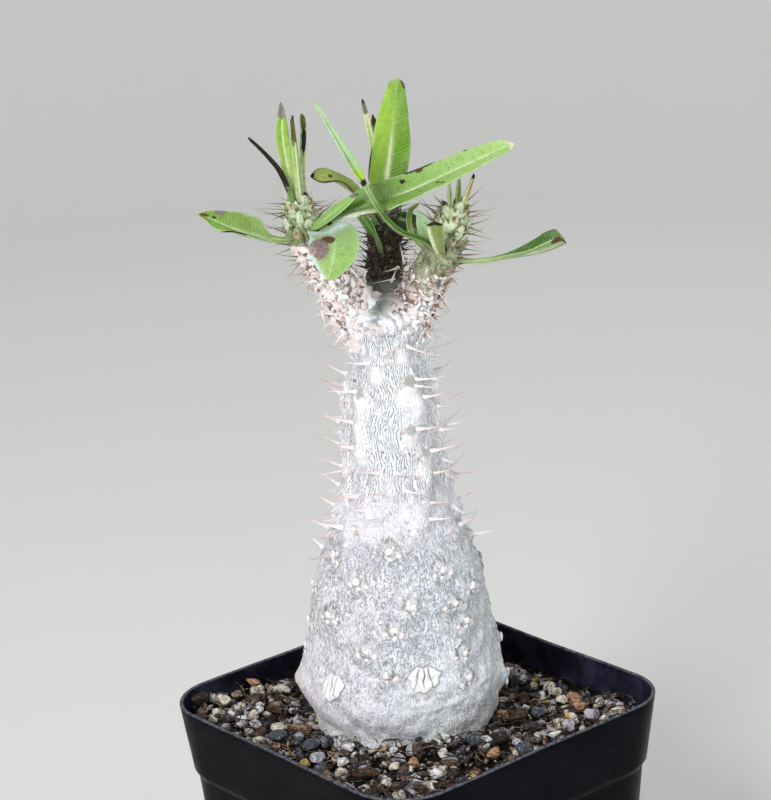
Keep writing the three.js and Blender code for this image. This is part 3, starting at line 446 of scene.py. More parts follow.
# Grit colours, each with the share of the grains that have it
GRIT_TONES = {
    "cream": ((0.82, 0.74, 0.62), 0.17), "lavender": ((0.58, 0.56, 0.64), 0.11),
    "white": ((0.97, 0.95, 0.93), 0.14), "slate": ((0.055, 0.07, 0.10), 0.15),
    "coal": ((0.014, 0.015, 0.019), 0.2), "brown": ((0.10, 0.06, 0.04), 0.13),
    "tan": ((0.34, 0.23, 0.16), 0.08), "orange": ((0.56, 0.29, 0.15), 0.05),
    "yellow": ((0.66, 0.44, 0.10), 0.01),
}
# Painted shade: the small grains are darkened by this share to stand for the shade in the gaps between the
# large ones
CRUMB_SHADE = 0.55
CHIP_TONES = {
    "brown": ((0.13, 0.07, 0.045), 0.45), "tan": ((0.32, 0.19, 0.12), 0.2),
    "dark": ((0.035, 0.022, 0.017), 0.35),
}
TWIG_TONES = {
    "brown": ((0.14, 0.08, 0.05), 0.45), "tan": ((0.48, 0.32, 0.21), 0.2),
    "dark": ((0.035, 0.022, 0.018), 0.35),
}


def smoothstep(low, high, value):
    """0 below low and 1 above high, with the cubic 3t^2 - 2t^3 between them."""
    t = np.clip((value - low) / (high - low), 0, 1)
    return t * t * (3 - 2 * t)


def xyz(x, y, z):
    """Points or directions from their three parts, spread to one shape."""
    return np.stack(np.broadcast_arrays(x, y, z), axis=-1)


def round_turn(count):
    """That many angles evenly round a turn, from 0."""
    return np.arange(count) / count * 2 * math.pi


def blended(first, second, share):
    """Colours first + (second - first) * share, for an array of shares."""
    first = np.asarray(first, float)
    second = np.asarray(second, float)
    return first + (second - first) * np.asarray(share)[..., None]


def layered(tone, *layers):
    """Colours with each layer's colour blended over them in turn by its share."""
    for share, colour in layers:
        tone = blended(tone, colour, share)
    return tone


def unit(vectors):
    """The vectors divided by their lengths."""
    return vectors / np.linalg.norm(vectors, axis=-1, keepdims=True)


def drift(points, size, seed):
    """Smooth noise from -1 to 1: a random value at each corner of a lattice with cells of one
    size in mm, blended between the eight corners by the cubic 3t^2 - 2t^3."""
    cell = points / size + seed * 7.31
    base = np.floor(cell).astype(np.int64)
    share = cell - base
    share = share * share * (3 - 2 * share)
    total = np.zeros(points.shape[:-1])
    for corner in itertools.product((0, 1), repeat=3):
        total += hashed(base + corner, seed) * np.prod(np.where(corner, share, 1 - share), axis=-1)
    return total


def hashed(spot, seed):
    """A value from -1 to 1 for each whole-numbered place, as good as random."""
    mixed = spot[..., 0] * 73856093 ^ spot[..., 1] * 19349663 ^ spot[..., 2] * 83492791
    mixed = (mixed ^ (mixed >> 13)) * 1274126177 + seed * 9973
    mixed = (mixed ^ (mixed >> 15)) * 668265263
    return ((mixed ^ (mixed >> 16)) & 0xFFFF) / 32767.5 - 1


def folds(points, size, seed):
    """Rounded lumps parted by narrow creases. A noise is read at points shifted by other noises:
    a lump is as high as twice its size, up to 1, and a crease is 1 deep where it is zero."""
    shift = np.stack([drift(points, size, seed + k) for k in (1, 2, 3)], axis=-1)
    value = drift(points + 0.45 * size * shift, size, seed)
    return np.minimum(2 * np.abs(value), 1), np.exp(-(value / 0.07) ** 2)


def skin_spot(place):
    """Where a place on the trunk is, in mm, for the noises."""
    angle, height, radius = place
    return xyz(radius * np.sin(angle), radius * np.cos(angle), height)


def offsets(place, sites):
    """How far a place lies from each site round the trunk and up it, and the rest of its row."""
    angle, height, radius = place
    for degrees, level, *rest in sites:
        yield turn_from(angle, degrees) * radius, height - level, rest


def patches(place, rows):
    """The sum over rows of amount exp(-(s / across)^2 - (t / along)^2), where s is the distance
    round the trunk from the row's place and t the height above it."""
    return sum(amount * np.exp(-(s / across) ** 2 - (t / along) ** 2)
               for s, t, (across, along, amount) in offsets(place, rows))


def curve_through(knots, steps):
    """Rows of numbers joined by a Catmull-Rom curve: each stretch is the cubic whose slope at a
    knot is half the difference of the knots on either side, with the end knots mirrored."""
    knots = np.asarray(knots, float)
    padded = np.vstack([2 * knots[0] - knots[1], knots, 2 * knots[-1] - knots[-2]])
    stretch = np.arange(len(knots) - 1)
    p0, p1, p2, p3 = (padded[stretch + k][:, None] for k in range(4))
    t = (np.arange(steps) / steps)[None, :, None]
    rows = 0.5 * (2 * p1 + (p2 - p0) * t + (2 * p0 - 5 * p1 + 4 * p2 - p3) * t ** 2
                  + (3 * p1 - p0 - 3 * p2 + p3) * t ** 3)
    return np.vstack([rows.reshape(-1, knots.shape[1]), knots[-1]])


def planted(points):
    """Points in the plant's axes turned about Z by PLANT_TURN into the frame's axes."""
    c, s = math.cos(PLANT_TURN), math.sin(PLANT_TURN)
    x, y, z = (points[..., k] for k in range(3))
    return xyz(x * c - y * s, x * s + y * c, z)


class Level:
    """A number in a material, which can be added, taken away and multiplied."""

    def __init__(self, finish, socket):
        self.finish = finish
        self.socket = socket

    def __add__(self, other):
        return self.finish.math("ADD", self, other)

    def __sub__(self, other):
        return self.finish.math("SUBTRACT", self, other)

    def __rsub__(self, other):
        return self.finish.math("SUBTRACT", other, self)

    def __mul__(self, other):
        return self.finish.math("MULTIPLY", self, other)


def closed_tubes(rings):
    """Points and faces of tubes that run through rings, each closed by a fan to the middle of
    its first and last ring. rings is (tubes, rings, points in a ring, 3), and a ring runs
    anticlockwise seen from the tube's far end."""
    count, rows, cols, _ = rings.shape
    points = with_ends(rings).reshape(-1, 3)
    here = np.arange(rows - 1)[:, None] * cols + np.arange(cols)
    beside = np.arange(rows - 1)[:, None] * cols + (np.arange(cols) + 1) % cols
    quads = np.stack([here, beside, beside + cols, here + cols], axis=-1).reshape(-1, 4)
    ring = np.arange(cols)
    after = (ring + 1) % cols
    middle = rows * cols
    top = (rows - 1) * cols
    fans = np.concatenate([xyz(middle, after, ring), xyz(middle + 1, top + ring, top + after)])
    shift = (np.arange(count) * (rows * cols + 2))[:, None, None]
    return points, [(quads + shift).reshape(-1, 4), (fans + shift).reshape(-1, 3)]


def with_ends(values):
    """The values of the points of each tube, followed by the means of its two end rings."""
    count, rows, cols = values.shape[:3]
    ends = values[:, [0, -1]].mean(axis=2)
    flat = values.reshape(count, rows * cols, *values.shape[3:])
    return np.concatenate([flat, ends], axis=1)


def point_values(values):
    """Values spread over closed_tubes' rings, as one for each of its points in their order."""
    joined_ends = with_ends(values)
    return joined_ends.reshape(-1, *joined_ends.shape[2:])


def new_piece(name, points, faces, values=None, smooth=True):
    """An object at the origin whose mesh has the points, given in mm, and the faces, given as
    arrays with one count of sides each. values are numbers or colours for each point."""
    mesh = bpy.data.meshes.new(name)
    corners = np.concatenate([block.ravel() for block in faces])
    sides = np.concatenate([np.full(len(block), block.shape[1]) for block in faces])
    mesh.vertices.add(len(points))
    mesh.vertices.foreach_set("co", (points * MM).astype(np.float32).ravel())
    mesh.loops.add(len(corners))
    mesh.loops.foreach_set("vertex_index", corners.astype(np.int32))
    mesh.polygons.add(len(sides))
    mesh.polygons.foreach_set("loop_start", (np.cumsum(sides) - sides).astype(np.int32))
    mesh.update(calc_edges=True)
    for key, numbers in (values or {}).items():
        if numbers.ndim == 1:
            layer = mesh.attributes.new(key, "FLOAT", "POINT")
            layer.data.foreach_set("value", numbers.astype(np.float32))
        else:
            colours = np.ones((len(numbers), 4), np.float32)
            colours[:, :3] = numbers
            layer = mesh.attributes.new(key, "FLOAT_COLOR", "POINT")
            layer.data.foreach_set("color", colours.ravel())
    if smooth:
        mesh.shade_smooth()
    else:
        mesh.shade_flat()
    if mesh.validate():
        raise RuntimeError(name + " has faces that a mesh can't hold")
    piece = bpy.data.objects.new(name, mesh)
    bpy.context.scene.collection.objects.link(piece)
    return piece


def settle(piece, material, slot, *nodes):
    """Gives a piece its material and its body, and hides the nodes that it stands for. The slot
    is not used.
    """
    piece.data.materials.append(material)
    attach(piece, BODY)
    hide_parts(*nodes)


class Finish:
    """The nodes of one material, laid down one after the other."""

    def __init__(self, name, sockets):
        self.material = bpy.data.materials.new(name)
        self.material.use_nodes = True
        self.tree = self.material.node_tree
        self.shader = self.tree.nodes["Principled BSDF"]
        self.place = self.node("TexCoord").outputs["Object"]
        self.feed(self.shader, sockets)

    def feed(self, node, inputs):
        """Sets a node's inputs to numbers and colours, or joins them to what they are given."""
        for key, value in inputs.items():
            if isinstance(value, Level):
                value = value.socket
            if isinstance(value, bpy.types.NodeSocket):
                self.tree.links.new(value, node.inputs[key])
            else:
                node.inputs[key].default_value = value

    def node(self, kind, inputs=None, **settings):
        """A new node of a kind, with its settings and its inputs."""
        made = self.tree.nodes.new("ShaderNode" + kind)
        for key, value in settings.items():
            setattr(made, key, value)
        self.feed(made, inputs or {})
        return made

    def math(self, operation, first, second=0):
        """The outcome of one sum on one or two numbers."""
        made = self.node("Math", {0: first, 1: second}, operation=operation)
        return Level(self, made.outputs[0])

    def read(self, name, output):
        """What the piece's mesh says of each point under that name."""
        return self.node("Attribute", attribute_name=name).outputs[output]

    def value(self, name):
        return Level(self, self.read(name, "Fac"))

    def colour(self, name="tone"):
        return self.read(name, "Color")

    def parts(self, vector):
        """The three numbers of a vector."""
        return [Level(self, part) for part in self.node("SeparateXYZ", {0: vector}).outputs]

    def sized(self, size, stretch=(1, 1, 1)):
        """Object coordinates counted in steps of size mm, longer along a stretched axis."""
        scale = [1 / (size * MM * s) for s in stretch]
        return self.node("Mapping", {"Vector": self.place, "Scale": scale}).outputs[0]

    def noise(self, size, stretch=(1, 1, 1), detail=3, rough=0.5, twist=0):
        """A smooth noise from 0 to 1 with lumps about size mm across."""
        made = self.node("TexNoise", {
            "Vector": self.sized(size, stretch), "Scale": 1, "Detail": detail,
            "Roughness": rough, "Distortion": twist,
        })
        return Level(self, made.outputs["Fac"])

    def cells(self, size):
        """How far each place is from the nearest of points about size mm apart."""
        made = self.node("TexVoronoi", {"Vector": self.sized(size), "Scale": 1})
        return Level(self, made.outputs["Distance"])

    def contour(self, size, stretch, width, twist):
        """Lines where a smooth noise passes through its middle, 0 beyond their width."""
        away = self.math("ABSOLUTE", self.noise(size, stretch, detail=1, twist=twist) - 0.5)
        return self.ramp(away, 0, width, 1, 0)

    def ramp(self, value, low, high, start=0.0, end=1.0):
        """value taken from start to end as it goes from low to high, smoothly."""
        inputs = {0: value, 1: low, 2: high, 3: start, 4: end}
        made = self.node("MapRange", inputs, interpolation_type="SMOOTHSTEP")
        return Level(self, made.outputs[0])

    def mix(self, share, first, second):
        """The colour that share of the way from first to second."""
        colours = {6: first, 7: second}
        for key, colour in colours.items():
            if isinstance(colour, tuple):
                colours[key] = (*colour, 1)
        return self.node("Mix", {0: share, **colours}, data_type="RGBA").outputs[2]

    def over(self, tone, *layers):
        """tone with each layer's colour mixed over it in turn by its share."""
        for share, colour in layers:
            tone = self.mix(share, tone, colour)
        return tone

    def mottled(self, share, dark, noise, low, high):
        """The piece's own tone, taken towards dark by that share where a noise is low."""
        shade = self.mix(share, self.colour(), dark)
        return self.mix(self.ramp(noise, low, high), shade, self.colour())

    def done(self, colour, roughness, height, depth, strength=1.0):
        """Joins the colour, the roughness and a bump of some depth in mm to the shader."""
        bump = self.node("Bump", {"Height": height, "Distance": depth * MM, "Strength": strength})
        self.feed(self.shader, {
            "Base Color": colour, "Normal": bump.outputs[0], "Roughness": roughness,
        })
        return self.material


def pot_plastic(settings):
    """Black moulded plastic with a blue sheen, dust in soft patches and pale scuffs, a painted
    bluish sheen in patches on the inside wall and a painted highlight along the lip.
    """
    finish = Finish("pot_plastic", {
        "IOR": 1.5, "Specular IOR Level": 0.03, "Specular Tint": (0.72, 0.84, 1, 1),
    })
    dust = finish.ramp(finish.noise(16, (1, 1, 0.7), detail=6, rough=0.65), 0.42, 0.8)
    scuff = finish.ramp(finish.noise(2.2, (3, 3, 0.5), detail=5, rough=0.7), 0.58, 0.76)
    speck = finish.ramp(finish.noise(0.7, rough=0.7), 0.56, 0.72)
    marks = scuff * finish.ramp(finish.noise(22, detail=2), 0.4, 0.65)
    # Painted sheen: soft bluish patches on the inside wall stand for the light's sheen on it
    painted_inner_sheen = finish.ramp(finish.noise(10, detail=5, rough=0.6), 0.38, 0.7, 0.1, 0.9)
    # Painted highlight: the lip is lightened, broken up by a noise, as the highlight along its edge
    worn = finish.ramp(finish.noise(1.2, detail=4), 0.3, 0.65, 0.2, 1)
    colour = finish.over(
        tuple(settings.colour), (dust * settings.dust, (0.06, 0.06, 0.075)),
        (marks * 0.22, (0.075, 0.08, 0.1)), (speck * 0.1, (0.07, 0.075, 0.09)),
        (painted_inner_sheen * finish.value("inside"), (0.03, 0.03, 0.06)),
        (worn * finish.value("lip"), (0.14, 0.14, 0.175)),
    )
    rough = finish.ramp(finish.noise(6, detail=4), 0.3, 0.7, 0.26, 0.42)
    return finish.done(colour, rough, finish.noise(0.55), 0.05, 0.5)


def square_rings(side, corner, height, count=32):
    """Rings of squares with round corners: quarter turns of the corner's radius about points
    set in from the corners, joined by straight sides. One ring for each side, corner, height."""
    side, corner, height = (np.atleast_1d(np.asarray(v, float))[:, None, None]
                            for v in (side, corner, height))
    quarter = np.arange(4)[None, :, None] * math.pi / 2
    turn = quarter + np.linspace(0, math.pi / 2, count // 2)[None, None, :]
    reach = (side / 2 - corner) * math.sqrt(2)
    x = reach * np.cos(quarter + math.pi / 4) + corner * np.cos(turn)
    y = reach * np.sin(quarter + math.pi / 4) + corner * np.sin(turn)
    arcs = xyz(x, y, height)
    share = (np.arange(count // 2) / (count // 2))[None, None, 1:, None]
    last = arcs[:, :, -1:]
    following = np.roll(arcs[:, :, :1], -1, axis=1)
    flats = last + (following - last) * share
    rings = np.concatenate([arcs, flats], axis=2)
    return rings.reshape(len(rings), -1, 3)


def pot_section(height, inset):
    """Side and corner of the pot's outside at heights, moved inwards: straight lines between
    the sections at the foot, at the band's step and at the rim."""
    foot = TOP - BAND_HEIGHT
    heights = [0, foot - STEP_ROUNDING, foot, foot + STEP_ROUNDING, TOP]
    sides = [FOOT_SIDE, BODY_TOP_SIDE, BAND_FOOT_SIDE - STEP_ROUNDING, BAND_FOOT_SIDE,
             RIM_SIDE / MM]
    corners = [FOOT_CORNER] + [RIM_CORNER] * 4
    side = np.interp(height, heights, sides) - 2 * inset
    return side, np.interp(height, heights, corners) - inset


def pot_profile(wall):
    """The pot's closed section, as side, corner and height: the underside with its raised
    panel, up the outside over the band's rounded step, round the lip, and down the inside."""
    step = TOP - BAND_HEIGHT
    outside = np.concatenate([
        [0.5, 4], np.linspace(10, step - 2.4, 9),
        step + STEP_ROUNDING * np.array([-1.6, -1, -0.6, -0.2, 0.2, 0.6, 1, 1.8]),
        np.linspace(step + 4, TOP - wall / 2, 9),
    ])
    under = [
        [1, 0.4, PANEL_RISE], [PANEL_SIDE - 3, PANEL_CORNER - 1.5, PANEL_RISE],
        [PANEL_SIDE, PANEL_CORNER, PANEL_RISE - 0.5], [PANEL_SIDE, PANEL_CORNER, 0.4],
        [PANEL_SIDE + 0.8, PANEL_CORNER + 0.4, 0], [FOOT_SIDE - 2, FOOT_CORNER - 1, 0],
        [FOOT_SIDE - 0.4, FOOT_CORNER - 0.2, 0.15],
    ]
    bend = np.linspace(0, math.pi, 9)[1:-1]
    rim_side, rim_corner = pot_section(TOP - wall / 2, 0)
    inward = wall / 2 * (1 - np.cos(bend))
    lip = xyz(rim_side - 2 * inward, rim_corner - inward, TOP - wall / 2 * (1 - np.sin(bend)))
    inside = np.concatenate([
        np.linspace(TOP - wall / 2, step + 3, 8),
        step + STEP_ROUNDING * np.array([1.4, 0.6, -0.2, -1, -1.8]),
        np.linspace(step - 4, FLOOR_TOP + 1, 7),
    ])
    side, corner = pot_section(FLOOR_TOP, wall)
    return np.concatenate([
        under, xyz(*pot_section(outside, 0), outside), lip,
        xyz(*pot_section(inside, wall), inside),
        [[side - 1, corner - 0.5, FLOOR_TOP], [1, 0.4, FLOOR_TOP]],
    ])


def make_pot(settings):
    """The pot: rounded squares carried along its closed section, with sides that bow in a little
    towards the rim, and drain holes cut in."""
    side, corner, height = pot_profile(settings.wall / MM).T
    rings = square_rings(side, corner, height)
    bow = SIDE_BOW * smoothstep(20, TOP, rings[..., 2:]) * smoothstep(
        0.3, 1, 1 - np.abs(rings[..., :2]) / 36)
    rings[..., :2] -= np.sign(rings[..., :2]) * bow[..., ::-1]
    lip = smoothstep(TOP - 0.5, TOP - 0.2, rings[None, ..., 2])
    inside = np.zeros(lip.shape)
    inside[:, int(np.argmax(height)) + 1:] = 1
    pot = new_piece("pot_shell", *closed_tubes(rings[None]), {
        "lip": point_values(lip), "inside": point_values(inside),
    })
    cutter = new_piece("drain_cutter", *closed_tubes(drain_plugs()))
    cut = pot.modifiers.new("drain holes", "BOOLEAN")
    cut.object = cutter
    cut.solver = "EXACT"
    bpy.context.view_layer.update()
    graph = bpy.context.evaluated_depsgraph_get()
    drained = bpy.data.meshes.new_from_object(pot.evaluated_get(graph))
    pot.modifiers.clear()
    pot.data = drained
    bpy.data.objects.remove(cutter)
    drained.materials.clear()
    settle(pot, pot_plastic(settings), "pot", "pot")


def drain_plugs():
    """Upright round rods through the pot's floor, one in its middle and one near each corner."""
    spots = np.array([[0, 0], [1, 1], [1, -1], [-1, 1], [-1, -1]]) * DRAIN_SPACING
    turn = round_turn(32)
    circle = np.stack([np.cos(turn), np.sin(turn)], axis=-1) * DRAIN_RADIUS
    plugs = np.zeros((len(spots), 2, len(turn), 3))
    plugs[..., :2] = spots[:, None, None] + circle
    plugs[:, 0, :, 2] = -FLOOR_TOP
    plugs[:, 1, :, 2] = 2 * FLOOR_TOP
    return plugs


def soil_height(x, y, level):
    """The soil's surface: its level plus half a millimetre of sin(x / 9) cos(y / 11 + 0.6), tilted
    up to the left and the front, and heaped in the corners and before the trunk."""
    c, s = math.cos(PLANT_TURN), math.sin(PLANT_TURN)
    across, near = x * c + y * s, x * s - y * c
    height = level + 0.5 * np.sin(x / 9) * np.cos(y / 11 + 0.6)
    height = height + SOIL_TILT[0] * across + SOIL_TILT[1] * near
    for place, size, rise in SOIL_HEAPS:
        away = (across - place[0]) ** 2 + (near - place[1]) ** 2
        height = height + rise * np.exp(-away / size ** 2)
    return height


def trunk_size(height):
    """The trunk's centre across and its radius at heights, read off the curve through TRUNK."""
    levels, centre, radius = curve_through(TRUNK, 16).T
    return np.interp(height, levels, centre), np.interp(height, levels, radius)


def soil_dark():
    """The fines between the grains, painted nearly black as the deep shade in the gaps."""
    finish = Finish("soil_dark", {"Specular IOR Level": 0.15})
    crumbs = finish.noise(1.1, detail=5, rough=0.7)
    # Painted shade: near black browns for the shade in the gaps between the grains
    colour = finish.mix(finish.ramp(crumbs, 0.35, 0.8), (0.004, 0.003, 0.002), (0.025, 0.015, 0.01))
    return finish.done(colour, 0.9, crumbs, 0.8)


def soil_grit():
    """Stone grains: each its own tone, mottled, with dark pores and a little dust."""
    finish = Finish("soil_grit", {"Specular IOR Level": 0.45})
    mottle = finish.noise(0.9, detail=5, rough=0.75)
    pores = finish.ramp(finish.cells(0.8), 0.12, 0.3, 1, 0)
    bloom = finish.ramp(finish.noise(0.9, detail=4, twist=1), 0.56, 0.66)
    tone = finish.over(
        finish.mottled(0.75, (0.02, 0.015, 0.013), mottle, 0.38, 0.56),
        (pores * 0.7, (0.03, 0.024, 0.02)), (bloom * 0.35, (0.78, 0.75, 0.74)),
    )
    return finish.done(tone, finish.ramp(mottle, 0.3, 0.7, 0.38, 0.8), mottle, 0.4)


def soil_bark():
    """Bark chips and twigs: their own tone with fibres and dark gaps."""
    finish = Finish("soil_bark", {"Specular IOR Level": 0.3})
    fibre = finish.noise(0.4, (4, 1.6, 1.2), detail=4, rough=0.75)
    tone = finish.over(
        (0.012, 0.007, 0.005), (finish.ramp(fibre, 0.4, 0.6), finish.colour()),
        (finish.ramp(fibre, 0.58, 0.72), finish.mix(0.5, finish.colour(), (0.62, 0.46, 0.34))),
    )
    return finish.done(tone, 0.7, fibre, 0.5)


def make_soil_bed(settings):
    """The soil's body: rounded squares up the inside of the pot, then drawn in over its top,
    with a low crumbly noise on the surface. It is a little below the level, under the grains."""
    level = settings.level / MM - 1.5
    heights = np.linspace(FLOOR_TOP + GAP, level, 14)
    walls = square_rings(*pot_section(heights, settings.wall / MM + GAP), heights)
    share = np.linspace(1, 0.004, 60)[1:, None]
    top = walls[-1] * xyz(share, share, 1)
    top[..., 2] = soil_height(top[..., 0], top[..., 1], level)
    top[..., 2] += 0.5 * drift(top, 2.6, 3) + 0.35 * drift(top, 1.2, 4)
    points, faces = closed_tubes(np.concatenate([walls, top])[None])
    settle(new_piece("soil_bed", points, faces), soil_dark(), "soil", "soil")


def on_soil(x, y, reach, wall):
    """True where something reaching that far lies inside the pot's wall, and off the trunk and
    the stones that are set out one by one."""
    corner = RIM_CORNER - wall - GAP
    flat = BAND_FOOT_SIDE / 2 + 0.9 - wall - GAP - corner
    beyond = np.hypot(np.maximum(np.abs(x) - flat, 0), np.maximum(np.abs(y) - flat, 0))

    def away(across, near):
        spot = planted(np.array([across, -near, 0.0]))
        return np.hypot(x - spot[0], y - spot[1])

    centre, radius = trunk_size(SOIL_LINE)
    free = away(centre, 0) > radius - 0.4 + 0.3 * reach
    for across, near, half, wide, *_ in SOIL_STONES + SOIL_CHUNKS:
        free &= away(across, near) > 0.3 * reach + half * (0.5 + 0.3 * wide)
    return (beyond + reach < corner) & free


def scatter(count, reach, wall, random, spacing):
    """Places on the soil for things that reach that far: the cells of a square lattice shifted
    at random by up to most of a cell, those that don't fit left out, and count kept."""
    half = RIM_SIDE / MM / 2
    lattice = np.arange(-half, half, spacing)
    x, y = (v.ravel() for v in np.meshgrid(lattice, lattice))
    x = x + spacing * random.uniform(-0.8, 0.8, x.shape)
    y = y + spacing * random.uniform(-0.8, 0.8, y.shape)
    good = np.flatnonzero(on_soil(x, y, reach, wall))
    chosen = random.permutation(good)[:count]
    return x[chosen], y[chosen]


def turned_at_random(points, random, tilt=1.0):
    """Each shape's points turned by its own rotation: three random axes, made square to each
    other. A small tilt keeps the third axis close to straight up."""
    axes = random.normal(size=(len(points), 3, 3))
    third = unit(axes[:, 2] * tilt + np.array([0, 0, 1 - tilt]) * 3)
    first = unit(np.cross(axes[:, 1], third))
    return np.einsum("nrcj,njk->nrck", points, np.stack([first, np.cross(third, first), third], axis=1))


def stones(radius, shape, random, rows=5, cols=8, planes=9):
    """Angular grains: spheres cut by random planes, so a point at a direction lies at the
    smallest distance over (direction . normal) of the planes it faces, then stretched."""
    count = len(radius)
    rise = (np.linspace(-1, 1, rows + 2)[1:-1] * math.pi / 2 * 0.86)[:, None]
    turn = round_turn(cols)
    way = xyz(np.cos(rise) * np.cos(turn), np.cos(rise) * np.sin(turn), np.sin(rise))
    normals = unit(random.normal(size=(count, planes, 3)))
    depth = random.uniform(0.5, 0.92, (count, planes))
    towards = np.einsum("rcj,npj->nrcp", way, normals)
    reach = np.where(towards > 0.05, depth[:, None, None] / np.maximum(towards, 0.05), 9)
    reach = np.minimum(reach.min(axis=-1), 1)
    return way * reach[..., None] * radius[:, None, None, None] * shape[:, None, None]


def spun(points, angle):
    """Each shape's points turned about straight up by its own angle."""
    c, s = np.cos(angle)[:, None, None], np.sin(angle)[:, None, None]
    x, y, z = (points[..., k] for k in range(3))
    return xyz(x * c - y * s, x * s + y * c, z)


def toned(tones, count, random):
    """A colour for each of count things, drawn from tones by their shares and varied a little."""
    colours, shares = (np.array(column) for column in zip(*tones.values()))
    pick = random.choice(len(tones), count, p=shares / shares.sum())
    return np.clip(colours[pick] * random.uniform(0.7, 1.35, (count, 1)), 0, 0.92)


def lay(name, shapes, spots, colours, material, smooth=False):
    """One piece of many small shapes, each moved to its spot and given its own colour."""
    shapes = shapes + spots[:, None, None]
    tone = np.broadcast_to(colours[:, None, None], shapes.shape)
    piece = new_piece(name, *closed_tubes(shapes), {"tone": point_values(tone)}, smooth)
    settle(piece, material, "soil", "soil")


def make_grit(settings):
    """The grit on the soil: large grains, small grains, bark chips and curved twigs, and the
    stones and chunks of bark that stand out, each where it lies."""
    random = np.random.default_rng(settings.seed)
    wall = settings.wall / MM
    level = settings.level / MM
    grit, bark = soil_grit(), soil_bark()

    def laid(name, count, reach, spacing, sizes, shape, mesh, tilt, lift, tones, material, light=1):
        x, y = scatter(count, reach, wall, random, spacing)
        radius = sizes[0] + sizes[1] * random.beta(*sizes[2:], len(x))
        form = xyz(1, *(random.uniform(*limits, len(x)) for limits in shape))
        stone = turned_at_random(stones(radius, form, random, *mesh), random, tilt)
        z = soil_height(x, y, level) - lift[2] * radius + random.uniform(*lift[:2], len(x))
        lay(name, stone, xyz(x, y, z), light * toned(tones, len(x), random), material)

    def set_out(name, rows, tones, material):
        across, near, half, wide, tall, spin = np.array([row[:6] for row in rows]).T
        shape = stones(half, xyz(1, wide, tall), random, 9, 18, 14)
        spots = planted(xyz(across, -near, 0))
        spots[:, 2] = soil_height(*spots[:, :2].T, level) + 0.9 + 0.2 * half * tall
        colours = np.array([tones[row[6]][0] for row in rows])
        lay(name, spun(shape, PLANT_TURN + np.radians(spin)), spots, colours, material)

    laid("soil_grains", settings.grains, 1.4, 2.9, (1.1, 2.1, 1.1, 2.2), ((0.5, 0.9), (0.4, 0.85)),
         (5, 9, 6), 0.6, (-0.7, 0.9, 0.3), GRIT_TONES, grit)
    laid("soil_crumbs", settings.crumbs, 0.7, 1.5, (0.3, 0.7, 1.2, 2), ((0.5, 1), (0.5, 1)),
         (3, 6, 6), 1.0, (-1.4, 0.4, 0), GRIT_TONES, grit, CRUMB_SHADE)
    laid("soil_chips", settings.chips, 2.4, 2.9, (1.2, 3.2, 1.0, 2.4), ((0.3, 0.6), (0.16, 0.3)),
         (6, 12, 10), 0.3, (-0.3, 0.9, 0), CHIP_TONES, bark)
    set_out("soil_stones", SOIL_STONES, GRIT_TONES, grit)
    set_out("soil_chunks", SOIL_CHUNKS, CHIP_TONES, bark)

    x, y = scatter(settings.twigs, 2.2, wall, random, 2.4)
    count = len(x)
    length = 2.5 + 8.5 * random.beta(1.2, 2.2, count)
    along = np.linspace(-0.5, 0.5, 9)
    arch = 1 - 4 * along ** 2
    sway = random.uniform(-0.3, 0.3, (count, 1))
    lift = random.uniform(-0.05, 0.22, (count, 1))
    slope = random.uniform(-0.2, 0.2, (count, 1))
    axis = xyz(along, sway * arch, lift * arch + slope * along) * length[:, None, None]
    thick = 0.07 + 0.25 * random.beta(1, 3, count)
    twigs = rods(axis, thick[:, None] * np.ones(len(along)), 6)
    z = soil_height(x, y, level) + random.uniform(0.3, 1.5, count)
    twigs = spun(twigs, random.uniform(0, 2 * math.pi, count))
    lay("soil_twigs", twigs, xyz(x, y, z), toned(TWIG_TONES, count, random), bark, smooth=True)


def rods(axis, radius, sides):
    """Round rods about curved axes: at each point of an axis, a circle of its radius square to
    the axis. axis is (rods, points, 3) and radius (rods, points)."""
    along = unit(np.gradient(axis, axis=1))
    away = np.where(np.abs(along[:, :1, 2:]) > 0.9, [1.0, 0, 0], [0, 0, 1.0])
    across = unit(np.cross(away, along))
    other = np.cross(along, across)
    turn = round_turn(sides)[:, None]
    ring = across[:, :, None] * np.cos(turn) + other[:, :, None] * np.sin(turn)
    return axis[:, :, None] + ring * radius[..., None, None]


def turn_from(angle, degrees):
    """The angle, in radians from -pi to pi, measured from a place given in degrees."""
    away = angle - math.radians(degrees)
    return np.arctan2(np.sin(away), np.cos(away))


def bells(place, sites, across, along, drop=0.0):
    """patches of one size and an amount of 1, each dropped a little below its site."""
    return patches(place, [[degrees, z - drop, across, along, 1] for degrees, z, *_ in sites])


def eyes(place, wide, tall):
    """1 inside a diamond with hollow sides, s + t + s t < 1, just above each hollow's site, with
    s and t the distances across and along over wide and tall."""
    total = 0
    for s, t, _ in offsets(place, HOLLOWS):
        s, t = np.abs(s) / wide, np.abs(t - 0.9) / tall
        total = np.maximum(total, smoothstep(1.25, 0.85, s + t + s * t))
    return total


def rings_about(place, sites, size, width):
    """The sum over the sites of exp(-((d - size) / width)^2), with d the distance from one."""
    return sum(np.exp(-((np.hypot(s, t) - size) / width) ** 2) for s, t, _ in offsets(place, sites))


def flakes(place):
    """Loose flakes: bells with a sharp lower edge, so each rises to its rim and stops short."""
    return sum(rise * np.exp(-(s / across) ** 2 - (t / along) ** 2)
               * smoothstep(-1.1, -0.75, t / along)
               for s, t, (across, along, rise) in offsets(place, FLAKES))


def wobble(place):
    """How far, in radians, the upright wrinkle lines are pushed round at each place: a close
    zigzag and a slow bend."""
    spot = skin_spot(place)
    return 4.6 * drift(spot * [1, 1, 0.8], 1.3, 31) + 7 * drift(spot, 8, 32)


